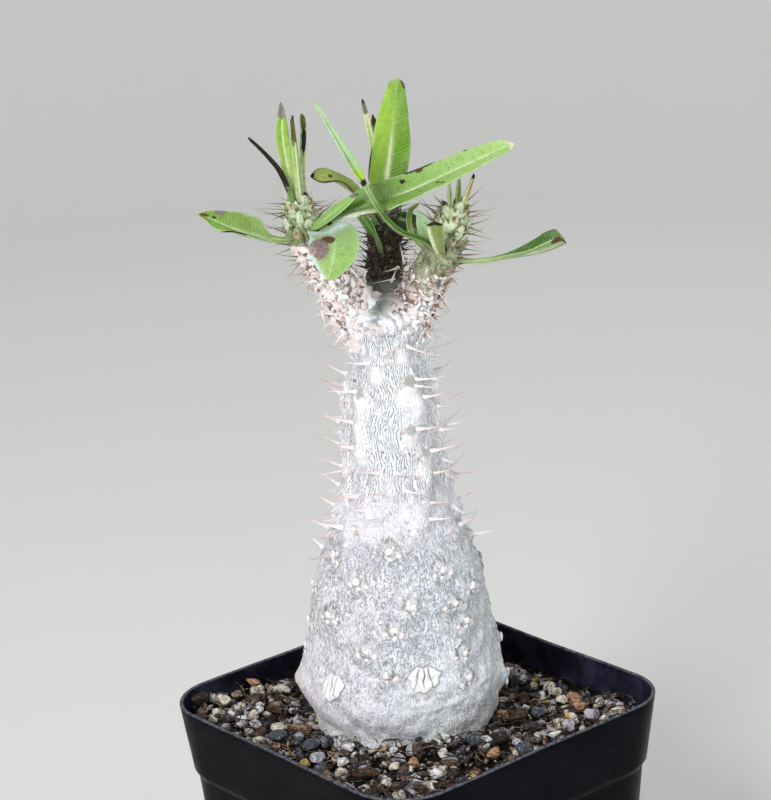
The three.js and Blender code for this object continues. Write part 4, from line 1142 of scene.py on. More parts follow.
def trunk_relief(place):
    """How far the bark stands out from the trunk's smooth line: tubercles and scar mounds as in
    the solid, with scars sunk into them, sockets round the knobs, flakes, folds and wrinkles."""
    angle, height, _ = place
    spot = skin_spot(place)
    ragged = 0.6 + 0.7 * drift(spot, 1.4, 9)
    relief = NECK_TUBERCLE["height"] * bells(
        place, NECK_SITES, NECK_TUBERCLE["across"], NECK_TUBERCLE["along"])
    relief += SCAR_BUMP["height"] * bells(
        place, SCAR_SITES, SCAR_BUMP["across"], SCAR_BUMP["along"])
    relief += 0.85 * bells(place, NECK_SITES, 2.1, 2.9, drop=3.2) * smoothstep(134, 152, height)
    relief -= 0.4 * eyes(place, 3.4, 1.6)
    relief -= 0.7 * rings_about(place, SCAR_SITES, 1.9, 0.7) * ragged
    relief -= 0.35 * rings_about(place, CHALK_SCARS, 4.8, 0.7)
    relief += 0.3 * bells(place, CREASE, 4, 0.7) * ragged
    relief -= 0.25 * bells(place, CREASE, 4, 0.9, drop=1.6)
    relief += flakes(place) * (1 + 0.4 * drift(spot, 1.6, 3))
    low = smoothstep(160, 140, height)
    relief += low * (0.85 * drift(spot, 8, 1) + 0.75 * drift(spot, 3.4, 2))
    relief += (1 - low) * 0.35 * drift(spot, 4, 5) + 0.18 * drift(spot, 1.3, 6)
    top = smoothstep(188, 198, height)
    lump, _ = folds(spot * FOLD_STRETCH, 2.4, 8)
    small, _ = folds(spot, 1.2, 9)
    relief += top * (1.6 * (lump - 0.6) + 0.5 * (small - 0.45))
    cut = smoothstep(-0.2, 0.95, np.sin(WRINKLE_LINES * angle + wobble(place)))
    return relief - (0.18 + 0.1 * low) * cut * wrinkled(place)


def wrinkled(place):
    """How strongly the bark is wrinkled, from 0 to 1: most in the strips between the columns of
    tubercles and under the old scars, and hardly at all on the tubercles and at the fork."""
    spot = skin_spot(place)
    smooth = bells(place, NECK_SITES, 2.4, 2.5, drop=2) * smoothstep(144, 166, place[1])
    value = 0.6 + 0.36 * drift(spot, 5, 15) + patches(place, WRINKLED)
    value += 0.35 * bells(place, SCAR_SITES, 3.4, 2.4, drop=3.8)
    smooth = smooth + 0.7 * bells(place, CREASE, 4, 0.7) + eyes(place, 3.4, 1.8)
    smooth = smooth + 0.8 * rings_about(place, SCAR_SITES, 2.0, 0.8)
    value *= smoothstep(199, 192, place[1]) * (1 - 0.85 * np.clip(1.1 * smooth, 0, 1))
    return np.clip(value - flakes(place), 0, 1)


def branch_line(knots, steps=16):
    """A branch's axis points, radii and directions, from the curve through its knots."""
    line = curve_through(knots, steps)
    return line[:, :3], line[:, 3], unit(np.gradient(line[:, :3], axis=0))


def outside_branch(points, knots):
    """Distance of points from a branch's skin: the least over its axis of the distance to an
    axis point less the radius there."""
    axis, radius, _ = branch_line(knots, 6)
    nearest = np.full(points.shape[:-1], np.inf)
    for centre, reach in zip(axis, radius):
        nearest = np.minimum(nearest, np.linalg.norm(points - centre, axis=-1) - reach)
    return nearest


def outside_trunk(points):
    """Distance of points from the trunk's smooth skin, measured level."""
    centre, radius = trunk_size(points[..., 2])
    level = np.hypot(points[..., 0] - centre, points[..., 1]) - radius
    return np.maximum(level, points[..., 2] - TRUNK[-1][0])


def fillet(distance, size=3.5):
    """How far a skin is drawn out near another: size / 4 (1 - |distance| / size)^2."""
    return size / 4 * np.clip(1 - np.abs(distance) / size, 0, 1) ** 2


def bark_tones(place):
    """Colours of the bark: silver white, tinted lavender to the left and blue to the right, the blue
    being painted cool shade, with grey scars, painted shadow under the old scars and the chalky
    scars, a mauve girdle over the base, tan flakes, brownish sockets, painted shade over the low
    right, a pink, folded top with painted shade in its creases and a grey green notch painted as
    the shade in the fork."""
    angle, height, radius = place
    spot = skin_spot(place)
    # Painted shade: the blue tint grows towards the right, the side away from the key light; the lavender
    # to the left is the bark's own
    tint = smoothstep(-0.9, 0.9, np.sin(angle) + 0.5 * drift(spot, 12, 11))
    grey = smoothstep(0.1, 0.75, drift(spot, 6, 18)) * smoothstep(-0.4, 0.5, drift(spot, 1.6, 19))
    pink = smoothstep(0.2, 0.8, drift(spot, 8, 13)) * smoothstep(-0.2, 0.6, -np.sin(angle))
    girdle = smoothstep(160, 150, height) * smoothstep(126, 136, height)
    tubercles = np.clip(1.2 * bells(place, NECK_SITES, 2.1, 2.6, drop=2.8), 0, 1)
    blush = np.clip(bells(place, NECK_SITES, 1.6, 1.5, drop=1.6), 0, 1) * smoothstep(188, 160, height)
    broken = smoothstep(-0.5, 0.4, drift(spot, 0.9, 14))
    brows = [[degrees, level + 0.55] for degrees, level in SCAR_SITES]
    sockets = rings_about(place, brows, 2.0, 0.8) * smoothstep(-1.2, 0.4, drift(spot, 2, 16))
    # Painted shadow: below and under darken the bark just beneath each raised old scar and each chalky
    # scar, as the shadow they cast
    below = bells(place, SCAR_SITES, 3, 1.8, drop=3.6)
    under = bells(place, CHALK_SCARS, 4, 1.6, drop=5)
    loose = np.clip(1.6 * flakes(place), 0, 1.4) / 1.4
    tan = smoothstep(0.2, 0.6, loose) * (0.35 + 0.65 * broken)
    shaded = smoothstep(-0.1, 0.7, np.sin(angle) + 0.4 * drift(spot, 4, 20))
    top = smoothstep(189, 197, height)
    _, crease = folds(spot * FOLD_STRETCH, 2.4, 8)
    pale = blended((0.90, 0.93, 0.97), (0.84, 0.72, 0.71), smoothstep(-0.2, 0.6, drift(spot, 2.6, 21)))
    notch = np.exp(-(turn_from(angle, -8) * radius / 2.6) ** 2) * smoothstep(198, 201, height)
    hole = np.exp(-((turn_from(angle, -58) * radius) ** 2 + (height - 181) ** 2 / 2) / 0.35)
    tone = layered(
        blended((0.93, 0.88, 0.97), (0.84, 0.92, 0.97), tint),
        (0.6 * smoothstep(-0.2, 0.8, drift(spot, 5, 12)), (0.98, 0.98, 1.0)),
        (0.4 * grey * smoothstep(160, 145, height), (0.52, 0.54, 0.60)),
        (0.4 * pink, (0.92, 0.76, 0.80)),
        (0.75 * smoothstep(144, 160, height), (0.92, 0.95, 0.99)),
        (0.55 * girdle, (0.78, 0.74, 0.82)),
        (0.85 * tubercles * smoothstep(146, 168, height), (0.97, 0.94, 0.98)),
        (0.45 * blush, (0.80, 0.60, 0.61)),
        (0.95 * eyes(place, 3.4, 1.6), (0.42, 0.42, 0.38)),
        (0.95 * np.clip(1.5 * sockets, 0, 1) * (0.3 + 0.7 * broken), (0.17, 0.145, 0.13)),
        # Painted shadow beneath the raised old scars and the chalky scars
        (0.7 * np.clip(1.3 * below, 0, 1) * (0.25 + 0.75 * broken), (0.30, 0.32, 0.37)),
        (0.75 * np.clip(1.3 * under, 0, 1) * (0.2 + 0.8 * broken), (0.22, 0.22, 0.23)),
        (0.85 * tan, (0.62, 0.54, 0.40)),
        # Painted shade: the low right of the base, away from the key light, is greyed
        (0.6 * smoothstep(97, 90, height) * shaded, (0.50, 0.49, 0.45)),
        (0.4 * np.clip(patches(place, GRIMY), 0, 1) * broken, (0.28, 0.27, 0.27)),
        (0.8 * np.clip(bells(place, CREASE, 4, 0.6), 0, 1), (0.97, 0.99, 1.0)),
        (0.85 * top, pale),
        # Painted shade: the creases between the folds at the top are darkened
        (0.9 * top * crease, (0.24, 0.21, 0.22)),
        # Painted shade: the grey green notch in the front of the fork stands for the shade there
        (0.95 * notch, (0.17, 0.19, 0.165)),
        (np.clip(3 * hole - 0.6, 0, 1), (0.01, 0.01, 0.01)),
    )
    return np.clip(tone, 0, 1)


def bark_skin():
    """Thin silver bark: its own tones under dark wavy upright wrinkles with bright ridges. The dark of
    the wrinkles is partly the skin's own grey and partly painted shade in their grooves, and the
    white of the ridges is painted highlight. The lines follow a wave round the trunk, pushed aside
    by the piece's own wobble. On the swollen base they are twice as close, crooked and broken
    short, among worm-like strokes."""
    finish = Finish("bark_skin", {"Specular IOR Level": 0.25})
    strength = finish.value("wrinkle")
    x, y, pushed = finish.parts(finish.read("round", "Vector"))
    phase = finish.math("ARCTAN2", x, y) * WRINKLE_LINES + pushed
    jitter = finish.noise(0.9, (1, 1, 1.2), detail=2) * 14
    close = finish.math("SINE", phase * 2 + jitter)
    wide = finish.math("SINE", phase + jitter * 0.4)
    up = finish.parts(finish.place)[2]
    neck = finish.ramp(up, 132 * MM, 156 * MM)
    base = 1 - neck
    wave = wide * neck + close * (base * finish.ramp(up, 92 * MM, 114 * MM, 0.5, 0.95))
    broken = finish.math("MAXIMUM", neck * 0.75, finish.ramp(
        finish.noise(0.85, (1, 1, 1.8), detail=2), 0.42, 0.52))
    # Partly painted shade: the wrinkle lines are darkened, partly as the skin's own grey and partly as the
    # shade in their grooves
    line = finish.ramp(wave, 0.36, 0.95) * broken * finish.ramp(strength, 0, 0.75)
    # Painted highlight: the ridges between the lines are whitened
    ridge = finish.ramp(wave, -0.1, -0.9)
    squiggle = finish.contour(1.25, (1, 1, 1.5), 0.075, twist=1.0)
    squiggle = squiggle * ((base + 0.15) * finish.ramp(strength, 0, 0.8))
    patch = finish.ramp(finish.noise(3.2, (1, 1, 1.3), detail=4, rough=0.65), 0.42, 0.7)
    specks = finish.ramp(strength, 0.02, 0.4, 0.1, 1)
    white = specks * finish.ramp(finish.noise(0.6, (1, 1, 1.8), detail=1, rough=0.5), 0.51, 0.58)
    dark = finish.ramp(finish.noise(0.4, (1, 1, 1.7), detail=2, rough=0.6, twist=0.6), 0.4, 0.33)
    dark = dark * specks * 0.4
    tone = finish.over(
        finish.colour(), (patch * 0.2 * specks, (0.50, 0.55, 0.64)),
        (ridge * 0.3 * specks, (1.0, 1.0, 1.0)), (squiggle * 0.75, (0.38, 0.40, 0.47)),
        (line * 0.85, finish.mix(neck, (0.36, 0.38, 0.44), (0.12, 0.14, 0.15))),
        (dark, (0.20, 0.20, 0.23)), (white * 0.7, (1.0, 1.0, 1.0)),
    )
    relief = ridge + white - (line * 2 + (squiggle + dark))
    return finish.done(tone, finish.ramp(patch, 0, 1, 0.5, 0.68), relief, 0.1, 1.0)


def freshness(name, points):
    """How woolly and pale green a branch is, from 0 low down to 1 by the growing tip."""
    start = {"left": 222.5, "middle": 220, "right": 216}[name]
    return smoothstep(start, start + 3, points[..., 2] + 1.6 * drift(points, 2.2, 26))


def make_trunk():
    """The trunk: at a height and an angle round from the front, the point at the radius of
    TRUNK's curve plus the relief, and a fillet where a branch leaves it."""
    heights = np.concatenate([np.linspace(*rows) for rows in TRUNK_ROWS])
    centre, radius = (v[:, None] for v in trunk_size(heights))
    place = np.broadcast_arrays(round_turn(4 * WRINKLE_LINES), heights[:, None], radius)
    angle, height, radius = place

    def skin(reach):
        return xyz(centre + reach * np.sin(angle), -reach * np.cos(angle), height)

    drawn = sum(fillet(outside_branch(skin(radius), knots)) for knots in BRANCHES.values())
    rings = skin(radius + trunk_relief(place) + drawn)
    values = {
        "tone": bark_tones(place), "wrinkle": wrinkled(place),
        "round": xyz(np.sin(angle), np.cos(angle), wobble(place)),
    }
    return new_piece("caudex_trunk", *closed_tubes(planted(rings)[None]), {
        key: point_values(value[None]) for key, value in values.items()})


def branch_tones(name, points):
    """Colours up a branch: pinkish white at the fork, then dark olive, then woolly pale green.
    The middle branch is painted as shade where the others shade it: its foot is grey green in
    front, and above that it is nearly black brown, then dark olive at the top."""
    x, y, height = (points[..., k] for k in range(3))
    patch = smoothstep(-0.5, 0.6, drift(points, 2.2, 23))
    white = blended((0.82, 0.70, 0.69), (0.86, 0.88, 0.91), patch)
    if name == "middle":
        # Painted shade: the middle branch lies in the others' shade, so its foot is grey green in front and
        # pale only behind, then near black brown, then dark olive at the top
        return layered(
            blended((0.22, 0.24, 0.21), (0.14, 0.15, 0.12), patch), (smoothstep(*BEHIND, y), white),
            (smoothstep(204, 205.6, height + 1.2 * patch),
             blended((0.020, 0.014, 0.003), (0.05, 0.038, 0.012), patch)),
            (smoothstep(218, 222, height), (0.05, 0.065, 0.02)),
        )
    if name == "left":
        start, reach, inner = 219, 1.5, 0
        olive = blended((0.05, 0.055, 0.015), (0.20, 0.24, 0.09), patch)
    else:
        start, reach, inner = 207, 4, smoothstep(8, 3, x)
        olive = blended((0.13, 0.14, 0.07), (0.34, 0.38, 0.22), patch)
    return layered(
        white, (0.75 * inner * smoothstep(199, 204, height), (0.46, 0.30, 0.22)),
        (smoothstep(start - reach, start + reach, height + 3 * patch - 1.5), olive),
        (freshness(name, points), blended((0.36, 0.47, 0.22), (0.68, 0.80, 0.52), patch)),
    )


def make_branches():
    """The branches: circles square to each branch's axis, with radii from the curve through its
    knots, folded lumps, and a fillet where it meets the trunk and the other branches."""
    shapes = []
    tones = []
    for name, knots in BRANCHES.items():
        axis, radius, _ = branch_line(knots, 16)
        rings = rods(axis[None], radius[None], 110)[0]
        outward = unit(rings - axis[:, None])
        drawn = fillet(outside_trunk(rings))
        drawn = drawn + sum(fillet(outside_branch(rings, BRANCHES[other]))
                            for other in BRANCHES if other != name)
        lump, crease = folds(rings * [1, 1, 0.8], 1.9, 24)
        small, _ = folds(rings, 1.0, 25)
        height = rings[..., 2]
        behind = smoothstep(*BEHIND, rings[..., 1])
        rough = np.maximum(smoothstep(204, 207, height), behind) if name == "middle" else 1
        bumps = rough * (1.3 * (lump - 0.7) + 0.6 * (small - 0.5)) + 0.12 * drift(rings, 1.1, 22)
        # Painted shade: the creases between the folded lumps are darkened, near black above the fork
        dark = blended((0.22, 0.16, 0.15), (0.03, 0.03, 0.01), smoothstep(202, 212, height))
        tone = blended(branch_tones(name, rings), dark, 0.9 * crease * rough)
        rings = rings + outward * (drawn + bumps)[..., None]
        shapes.append(closed_tubes(planted(rings)[None]))
        tones.append(point_values(tone[None]))
    points, faces = joined(shapes)
    return new_piece("caudex_branches", points, faces, {"tone": np.concatenate(tones)})


def joined(shapes):
    """The points and faces of several shapes as those of one."""
    points, faces = zip(*shapes)
    starts = np.cumsum([0] + [len(block) for block in points])
    return np.concatenate(points), [
        np.concatenate([block + start for block, start in zip(kind, starts)]) for kind in zip(*faces)
    ]


def gathered(made):
    """The rings and the colours of several groups, each joined into one."""
    return [np.concatenate(parts) for parts in zip(*made)]


def domes(foot, outward, along, radius, height, random, stretch=1.0, lean=0.0, power=0.8,
          size=(6, 12)):
    """Knobs: rings of radius r cos(u)^power, stretched along the skin's own way up, at a rise
    h sin(u) along outward, for u from -0.5 to nearly a right angle, leaning that way by
    lean r (rise / h)^2, with an uneven outline. Their feet are sunk a little into the skin."""
    rows, cols = size
    count = len(foot)
    side = unit(np.cross(along, outward))
    up = np.cross(outward, side)
    foot, outward, side, up = (v[:, None, None] for v in (foot, outward, side, up))
    radius, height = (v[:, None, None] for v in (radius, height))
    u = np.linspace(-0.5, math.pi / 2 - 0.12, rows)[None, :, None]
    turn = round_turn(cols)
    phase = random.uniform(0, 2 * math.pi, (2, count, 1, 1))
    uneven = 1 + 0.10 * np.sin(2 * turn + phase[0]) + 0.08 * np.sin(3 * turn + phase[1])
    ring = radius * np.cos(u) ** power * uneven
    out = np.sin(u) * height - 0.25 * height
    forward = np.maximum(np.sin(u), 0) ** 2 * (lean * radius)
    long = (stretch * np.ones(count))[:, None, None]
    return (foot + side * (ring * np.cos(turn))[..., None]
            + up * (long * ring * np.sin(turn) + forward)[..., None] + outward * out[..., None])


def up_domes(rings, low, high):
    """A share for each point of domes that rises smoothly from 0 at the low ring to 1 at the
    high one, both given as a part of the way from foot to top."""
    rows = rings.shape[1]
    return smoothstep(low, high, np.linspace(0, 1, rows))[None, :, None] * np.ones(rings.shape[:3])


def each(random, count, low=0.0, high=1.0):
    """One random number for each shape, to spread over its rings."""
    return random.uniform(low, high, (count, 1, 1))


def spines(foot, direction, length, radius, bend, root, rows=8, sides=6):
    """Spines: an axis foot + direction s + up bend s^2 / length from s = -root, with a radius
    that falls as (1 - s / length)^1.15 from a foot about twice as thick."""
    length, radius, bend = length[:, None], radius[:, None], bend[:, None]
    reach = -root + np.linspace(0, 1, rows) ** 1.2 * (length + root)
    share = np.clip(reach / length, 0, 1)
    axis = foot[:, None] + direction[:, None] * reach[..., None]
    axis[..., 2] += bend * share ** 2 * length
    size = radius * ((1 - share) ** 1.15 + 0.85 * np.exp(-share / 0.1) + 0.06)
    return rods(axis, size, sides), share[:, :, None] * np.ones(sides)


def leaf_cloud():
    """Points spread over the midlines and edges of every leaf, in the plant's axes."""
    return np.concatenate([
        blade_rows(leaf, 8, 3)[0].reshape(-1, 3) for leaf in LEAVES.values()
    ])


def clear_of_leaves(foot, direction, length, cloud, room):
    """True for each rod, from foot along direction, that passes every leaf at a distance."""
    share = np.linspace(0.05, 1, 7)[None, :, None]
    samples = foot[:, None] + direction[:, None] * length[:, None, None] * share
    good = np.ones(len(foot), bool)
    for k, path in enumerate(samples):
        near = cloud[np.linalg.norm(cloud - path[0], axis=-1) < LEAF_REACH]
        if len(near):
            gaps = np.linalg.norm(near[None] - path[:, None], axis=-1)
            good[k] = gaps.min() > room
    return good


def neck_spines(settings, cloud, random):
    """The pairs of stout spines on the neck's tubercles: each leaves its foot outwards, splayed
    to its own side and raised a little, and the highest ones droop. On the front most of the
    spines that would cross the neck are worn to stubs."""
    sites = np.repeat(np.array(NECK_SITES, float), 2, axis=0)
    count = len(sites)
    hand = np.tile([-1.0, 1.0], len(NECK_SITES))
    height = sites[:, 1] + 0.8
    centre, radius = trunk_size(height)
    outward, sideways = round_trunk(np.radians(sites[:, 0]) + hand * PAIR_GAP / NECK_RADIUS)
    splay = settings.splay + np.radians(random.uniform(-9, 9, count))
    direction = outward * np.cos(splay)[:, None] + sideways * (hand * np.sin(splay))[:, None]
    droop = 0.5 * smoothstep(184, 195, height)
    direction[:, 2] += 0.1 - droop + random.uniform(-0.16, 0.16, count)
    direction = unit(direction)
    foot = xyz(centre, 0, height) + outward * (radius + 0.6 * NECK_TUBERCLE["height"])[:, None]
    length = settings.spine_length / MM * random.uniform(0.72, 1.12, count)
    turned = np.abs(sites[:, 0])
    inner = (hand * sites[:, 0] < 0) & (turned > 8) & (turned < 62)
    worn = inner & (random.uniform(0, 1, count) < 0.8)
    length = np.where(worn, 0.3 * length, length)
    keep = clear_of_leaves(foot, direction, length, cloud, 0.9)
    foot, direction, length = foot[keep], direction[keep], length[keep]
    count = len(foot)
    rings, share = spines(foot, direction, length, random.uniform(0.34, 0.48, count),
                          random.uniform(0.02, 0.16, count), 2.2, rows=9, sides=8)
    tone = blended((0.95, 0.92, 0.92), (0.78, 0.58, 0.55), each(random, count) * (share + 0.35))
    tip = smoothstep(0.5, 1, share) * each(random, count, 0, 0.95)
    return rings, blended(tone, (0.36, 0.27, 0.22), tip)


def fork_places(count, random):
    """Random places on the top of the trunk and on the feet of the outer branches, with the
    directions out of the skin and up it. The front of the trunk under the fork is left smooth,
    and so is the notch in the fork's middle."""
    degrees, level = random.uniform(-180, 180, count), random.uniform(*FORK_LEVELS, count)
    foot, outward, sideways = on_bark(degrees, level, 0.1)
    made = [(foot, outward, np.cross(sideways, outward))]
    for name, high in FORK_REACH.items():
        axis, radius, along = branch_line(BRANCHES[name], 24)
        row = np.round(random.uniform(0.12, high, count) * (len(axis) - 1)).astype(int)
        outward = round_branch(along[row], random.uniform(0, 2 * math.pi, count))
        made.append((axis[row] + outward * (radius[row] + 0.2)[:, None], outward, along[row]))
    foot, outward, up = gathered(made)
    x, _, z = foot.T
    front = (np.abs(x + 3) < 9) & (z < 198.5) & (outward[:, 1] < 0)
    notch = (np.abs(x + 4.6) < 3) & (z > 197.5) & (outward[:, 1] < 0.6)
    skins = [outside_trunk(foot)] + [outside_branch(foot, knots) for knots in BRANCHES.values()]
    free = (np.min(skins, axis=0) > -0.5) & ~front & ~notch
    return foot[free], outward[free], up[free]


def round_branch(along, angle):
    """Directions square to a branch's own, at angles round it from the one nearest across."""
    across = unit(np.cross([0.0, 1.0, 0.0], along))
    away = np.cross(along, across)
    return across * np.cos(angle)[:, None] + away * np.sin(angle)[:, None]


def fork_knobs(random):
    """Low knobs of skin crowded over the fork, white, pink and tan, greener to the right, many
    with a dark dot on top where a spine has worn away."""
    foot, outward, up = fork_places(FORK_KNOBS, random)
    count = len(foot)
    size = 0.35 + 0.95 * random.beta(1, 2.4, count)
    rings = domes(foot, outward, up, size, size * random.uniform(0.5, 1.1, count), random,
                  stretch=random.uniform(0.6, 1.8, count), power=0.7, lean=0.8)
    pale = each(random, count) ** 0.7 * np.ones(rings.shape[:3])
    tan = 0.7 * smoothstep(0.7, 0.95, each(random, count))
    green = smoothstep(5, 9, foot[:, 0]) * smoothstep(200, 206, foot[:, 2])
    tone = layered(
        blended((0.82, 0.66, 0.64), (0.92, 0.93, 0.95), pale), (tan, (0.50, 0.36, 0.30)),
        (0.6 * green[:, None, None], (0.56, 0.60, 0.47)),
    )
    # Painted shade: the foot of each knob is darkened for the shade between the crowded knobs
    tone = blended((0.12, 0.085, 0.08), tone, up_domes(rings, 0.25, 0.85))
    dot = random.choice([0, 1], (count, 1, 1), p=[0.75, 0.25])
    return rings, blended(tone, (0.08, 0.05, 0.04), dot * up_domes(rings, 0.85, 1))


def crown_sites(name):
    """Feet of a branch's tubercles in a golden-angle spiral: their places on its skin, which way
    out they face, which way the branch runs and how far up it they are."""
    axis, radius, along = branch_line(BRANCHES[name], 24)
    count = CROWN_COUNTS[name]
    low, high = CROWN_STRETCH
    spread = low + (high - low) * np.arange(count) / (count - 1)
    row = np.round(spread * (len(axis) - 1)).astype(int)
    outward = round_branch(along[row], np.arange(count) * GOLDEN_ANGLE)
    foot = axis[row] + outward * (0.9 * radius[row])[:, None]
    skins = [outside_branch(foot, BRANCHES[other]) for other in BRANCHES if other != name]
    free = np.min(skins + [outside_trunk(foot)], axis=0) > -0.4
    free &= ~((name == "middle") & (foot[:, 2] < 206))
    return foot[free], outward[free], along[row][free], spread[free]


def crown_knobs(cloud, random):
    """The branches' tubercles, drawn out up the branch like scales: olive, with their feet darkened
    to near black as painted shade between them, woolly and nearly white by the growing tips,
    some with a cream scar round a brown dot."""
    made = []
    for name in BRANCHES:
        foot, outward, along, share = crown_sites(name)
        outer = name != "middle"
        size = 1.05 + 0.45 * smoothstep(0.5, 0.75, share) + random.uniform(-0.25, 0.15, len(foot))
        size = size * (1 if outer else 0.75)
        height = size * random.uniform(0.75, 1.05, len(foot))
        keep = clear_of_leaves(foot, unit(outward + 0.5 * along), 0.6 * height, cloud, 0.3)
        rings = domes(*(v[keep] for v in (foot, outward, along, size, height)), random,
                      stretch=1.5, lean=1.3, power=0.85, size=(7, 12))
        wool = 0.75 * freshness(name, rings) * outer * up_domes(rings, 0.35, 0.8)
        tone = blended(branch_tones(name, rings), (0.80, 0.90, 0.66), wool)
        # Painted shade: each tubercle's foot is darkened to near black olive for the shade between them
        tone = blended((0.035, 0.04, 0.012), tone, up_domes(rings, 0.2, 0.6))
        scar = random.choice([0, 1], (keep.sum(), 1, 1), p=[0.65, 0.35]) * outer
        made.append((rings, layered(
            tone, (0.9 * scar * up_domes(rings, 0.68, 0.84), (0.62, 0.54, 0.34)),
            (scar * up_domes(rings, 0.88, 1), (0.14, 0.09, 0.03)),
        )))
    return gathered(made)


def crown_spines(settings, cloud, random):
    """The branches' thin straight spines, in pairs beside each tubercle, with short dark ones
    between them: splayed outwards and leaning a little up the branch."""
    made = []
    for name in BRANCHES:
        foot, outward, along, share = (np.repeat(v, 4, axis=0) for v in crown_sites(name))
        outer = name != "middle"
        count = len(foot)
        hand = np.tile([-1.0, 1.0, -1.0, 1.0], count // 4)
        short = np.tile([False, False, True, True], count // 4)
        side = np.cross(along, outward)
        splay = np.radians(np.where(short, 15, 38) + random.uniform(-14, 14, count)) * hand
        direction = outward * np.cos(splay)[:, None] + side * np.sin(splay)[:, None]
        direction = unit(direction + along * random.uniform(-0.15, 0.8, count)[:, None])
        length = settings.crown_spine / MM * np.where(
            short, random.uniform(0.2, 0.5, count), random.uniform(0.75, 1.15, count))
        length = length * (0.4 + 0.6 * smoothstep(0.45, 0.62, share) if outer else 0.8)
        start = foot + side * (1.2 * hand)[:, None] + outward * 0.6 + along * 0.5
        keep = clear_of_leaves(start, direction, length, cloud, LEAF_CLEARANCE)
        if outer:
            keep &= ~(short & (share > 0.6))
            keep &= (np.abs(direction[:, 0]) > 0.35) | (random.uniform(0, 1, count) < 0.45)
        start, direction, length, share = (v[keep] for v in (start, direction, length, share))
        count = len(start)
        rings, part = spines(
            start, direction, length, random.uniform(0.13, 0.21, count),
            random.uniform(-0.06, 0.1, count), 1.0, rows=6, sides=5,
        )
        young = smoothstep(0.4, 0.6, share)[:, None, None]
        rank = each(random, count) * np.ones(part.shape)
        brown = blended((0.36, 0.22, 0.12), (0.10, 0.06, 0.025), rank)
        # Painted shade: the middle branch's spines are darkened for the shade that branch lies in
        dark = (0 if outer else 0.8) + 0.7 * smoothstep(0.6, 1, part)
        made.append((rings, layered(
            blended((0.70, 0.54, 0.47), brown, young) if outer else brown,
            (0.6 * young * smoothstep(0.4, 0, part), (0.30, 0.31, 0.12)),
            (np.clip(dark, 0, 0.95), (0.03, 0.02, 0.01)),
        )))
    return gathered(made)


def fork_spines(random):
    """Dry spines over the fork: many short, worn and turned every way, and the few long pale
    ones that stand out, each from its foot to its tip."""
    foot, outward, _ = fork_places(FORK_STUBS, random)
    direction = unit(outward + random.normal(size=foot.shape) * 0.7)
    length = 0.9 + 4.6 * random.beta(1, 2.2, len(foot))
    long = np.array(FORK_SPINES)
    reach = long[:, 3:] - long[:, :3]
    foot, direction, length = gathered([
        (foot, direction, length), (long[:, :3], unit(reach), np.linalg.norm(reach, axis=-1)),
    ])
    count = len(foot)
    rings, share = spines(foot, direction, length, random.uniform(0.14, 0.28, count),
                          random.uniform(-0.05, 0.1, count), 0.6, rows=6)
    rank = each(random, count) * np.ones(share.shape)
    rank[-len(long):] = 0
    end = random.choice([0.1, 0.9], (count, 1, 1), p=[0.6, 0.4]) * smoothstep(0.55, 0.95, share)
    return rings, layered(
        blended((0.93, 0.88, 0.83), (0.74, 0.55, 0.48), smoothstep(0.3, 0.6, rank)),
        (smoothstep(0.65, 0.85, rank), (0.30, 0.18, 0.11)), (end, (0.07, 0.045, 0.035)),
    )


def spine_horn():
    """Spines of dry horn: their own tones with faint rings and a low gloss."""
    finish = Finish("spine_horn", {"Specular IOR Level": 0.4})
    grain = finish.noise(1.2, detail=2, rough=0.5)
    tone = finish.mottled(0.2, (0.30, 0.20, 0.15), grain, 0.3, 0.6)
    return finish.done(tone, finish.ramp(grain, 0.3, 0.7, 0.42, 0.6), grain, 0.04)


def crown_wool():
    """Tubercles: their own tones under a mottled wool, with pits and fine grain."""
    finish = Finish("crown_wool", {
        "Specular IOR Level": 0.2, "Sheen Weight": 0.15, "Sheen Roughness": 0.6,
    })
    wool = finish.noise(0.4, (1, 1, 1.8), detail=4, rough=0.7)
    patch = finish.ramp(finish.noise(1.3, detail=3), 0.46, 0.62)
    tone = finish.mottled(0.7, (0.05, 0.06, 0.02), wool, 0.36, 0.56)
    pale = finish.mix(0.5, finish.colour(), (0.88, 0.95, 0.84))
    return finish.done(finish.over(tone, (patch * 0.5, pale)), 0.62, wool, 0.3)


def chalk():
    """Chalky white corky tissue with a fine crumbly grain."""
    finish = Finish("chalk", {"Specular IOR Level": 0.2})
    grain = finish.noise(0.5, (1, 1, 1.5), detail=5, rough=0.65)
    tone = finish.mottled(0.35, (0.45, 0.43, 0.44), grain, 0.3, 0.58)
    return finish.done(tone, 0.85, grain, 0.15)


def on_bark(degrees, level, out=0.0):
    """A place on the bark, with the directions out of it and to its right."""
    angle = np.radians(degrees)
    centre, radius = trunk_size(level)
    outward, sideways = round_trunk(angle)
    reach = radius + trunk_relief((angle, level, radius)) + out
    return xyz(centre, 0, level) + outward * reach[:, None], outward, sideways


def round_trunk(angle):
    """Level directions out of the trunk and to the right of that, at angles from the front."""
    return xyz(np.sin(angle), -np.cos(angle), 0), xyz(np.cos(angle), np.sin(angle), 0)


def moved(places, across, up):
    """Places given as [degrees, height] moved round the trunk and up it by lengths in mm."""
    places = np.array(places, float)
    _, radius = trunk_size(places[:, 1])
    return places + np.stack([np.degrees(across / radius), up + 0 * radius], axis=-1)


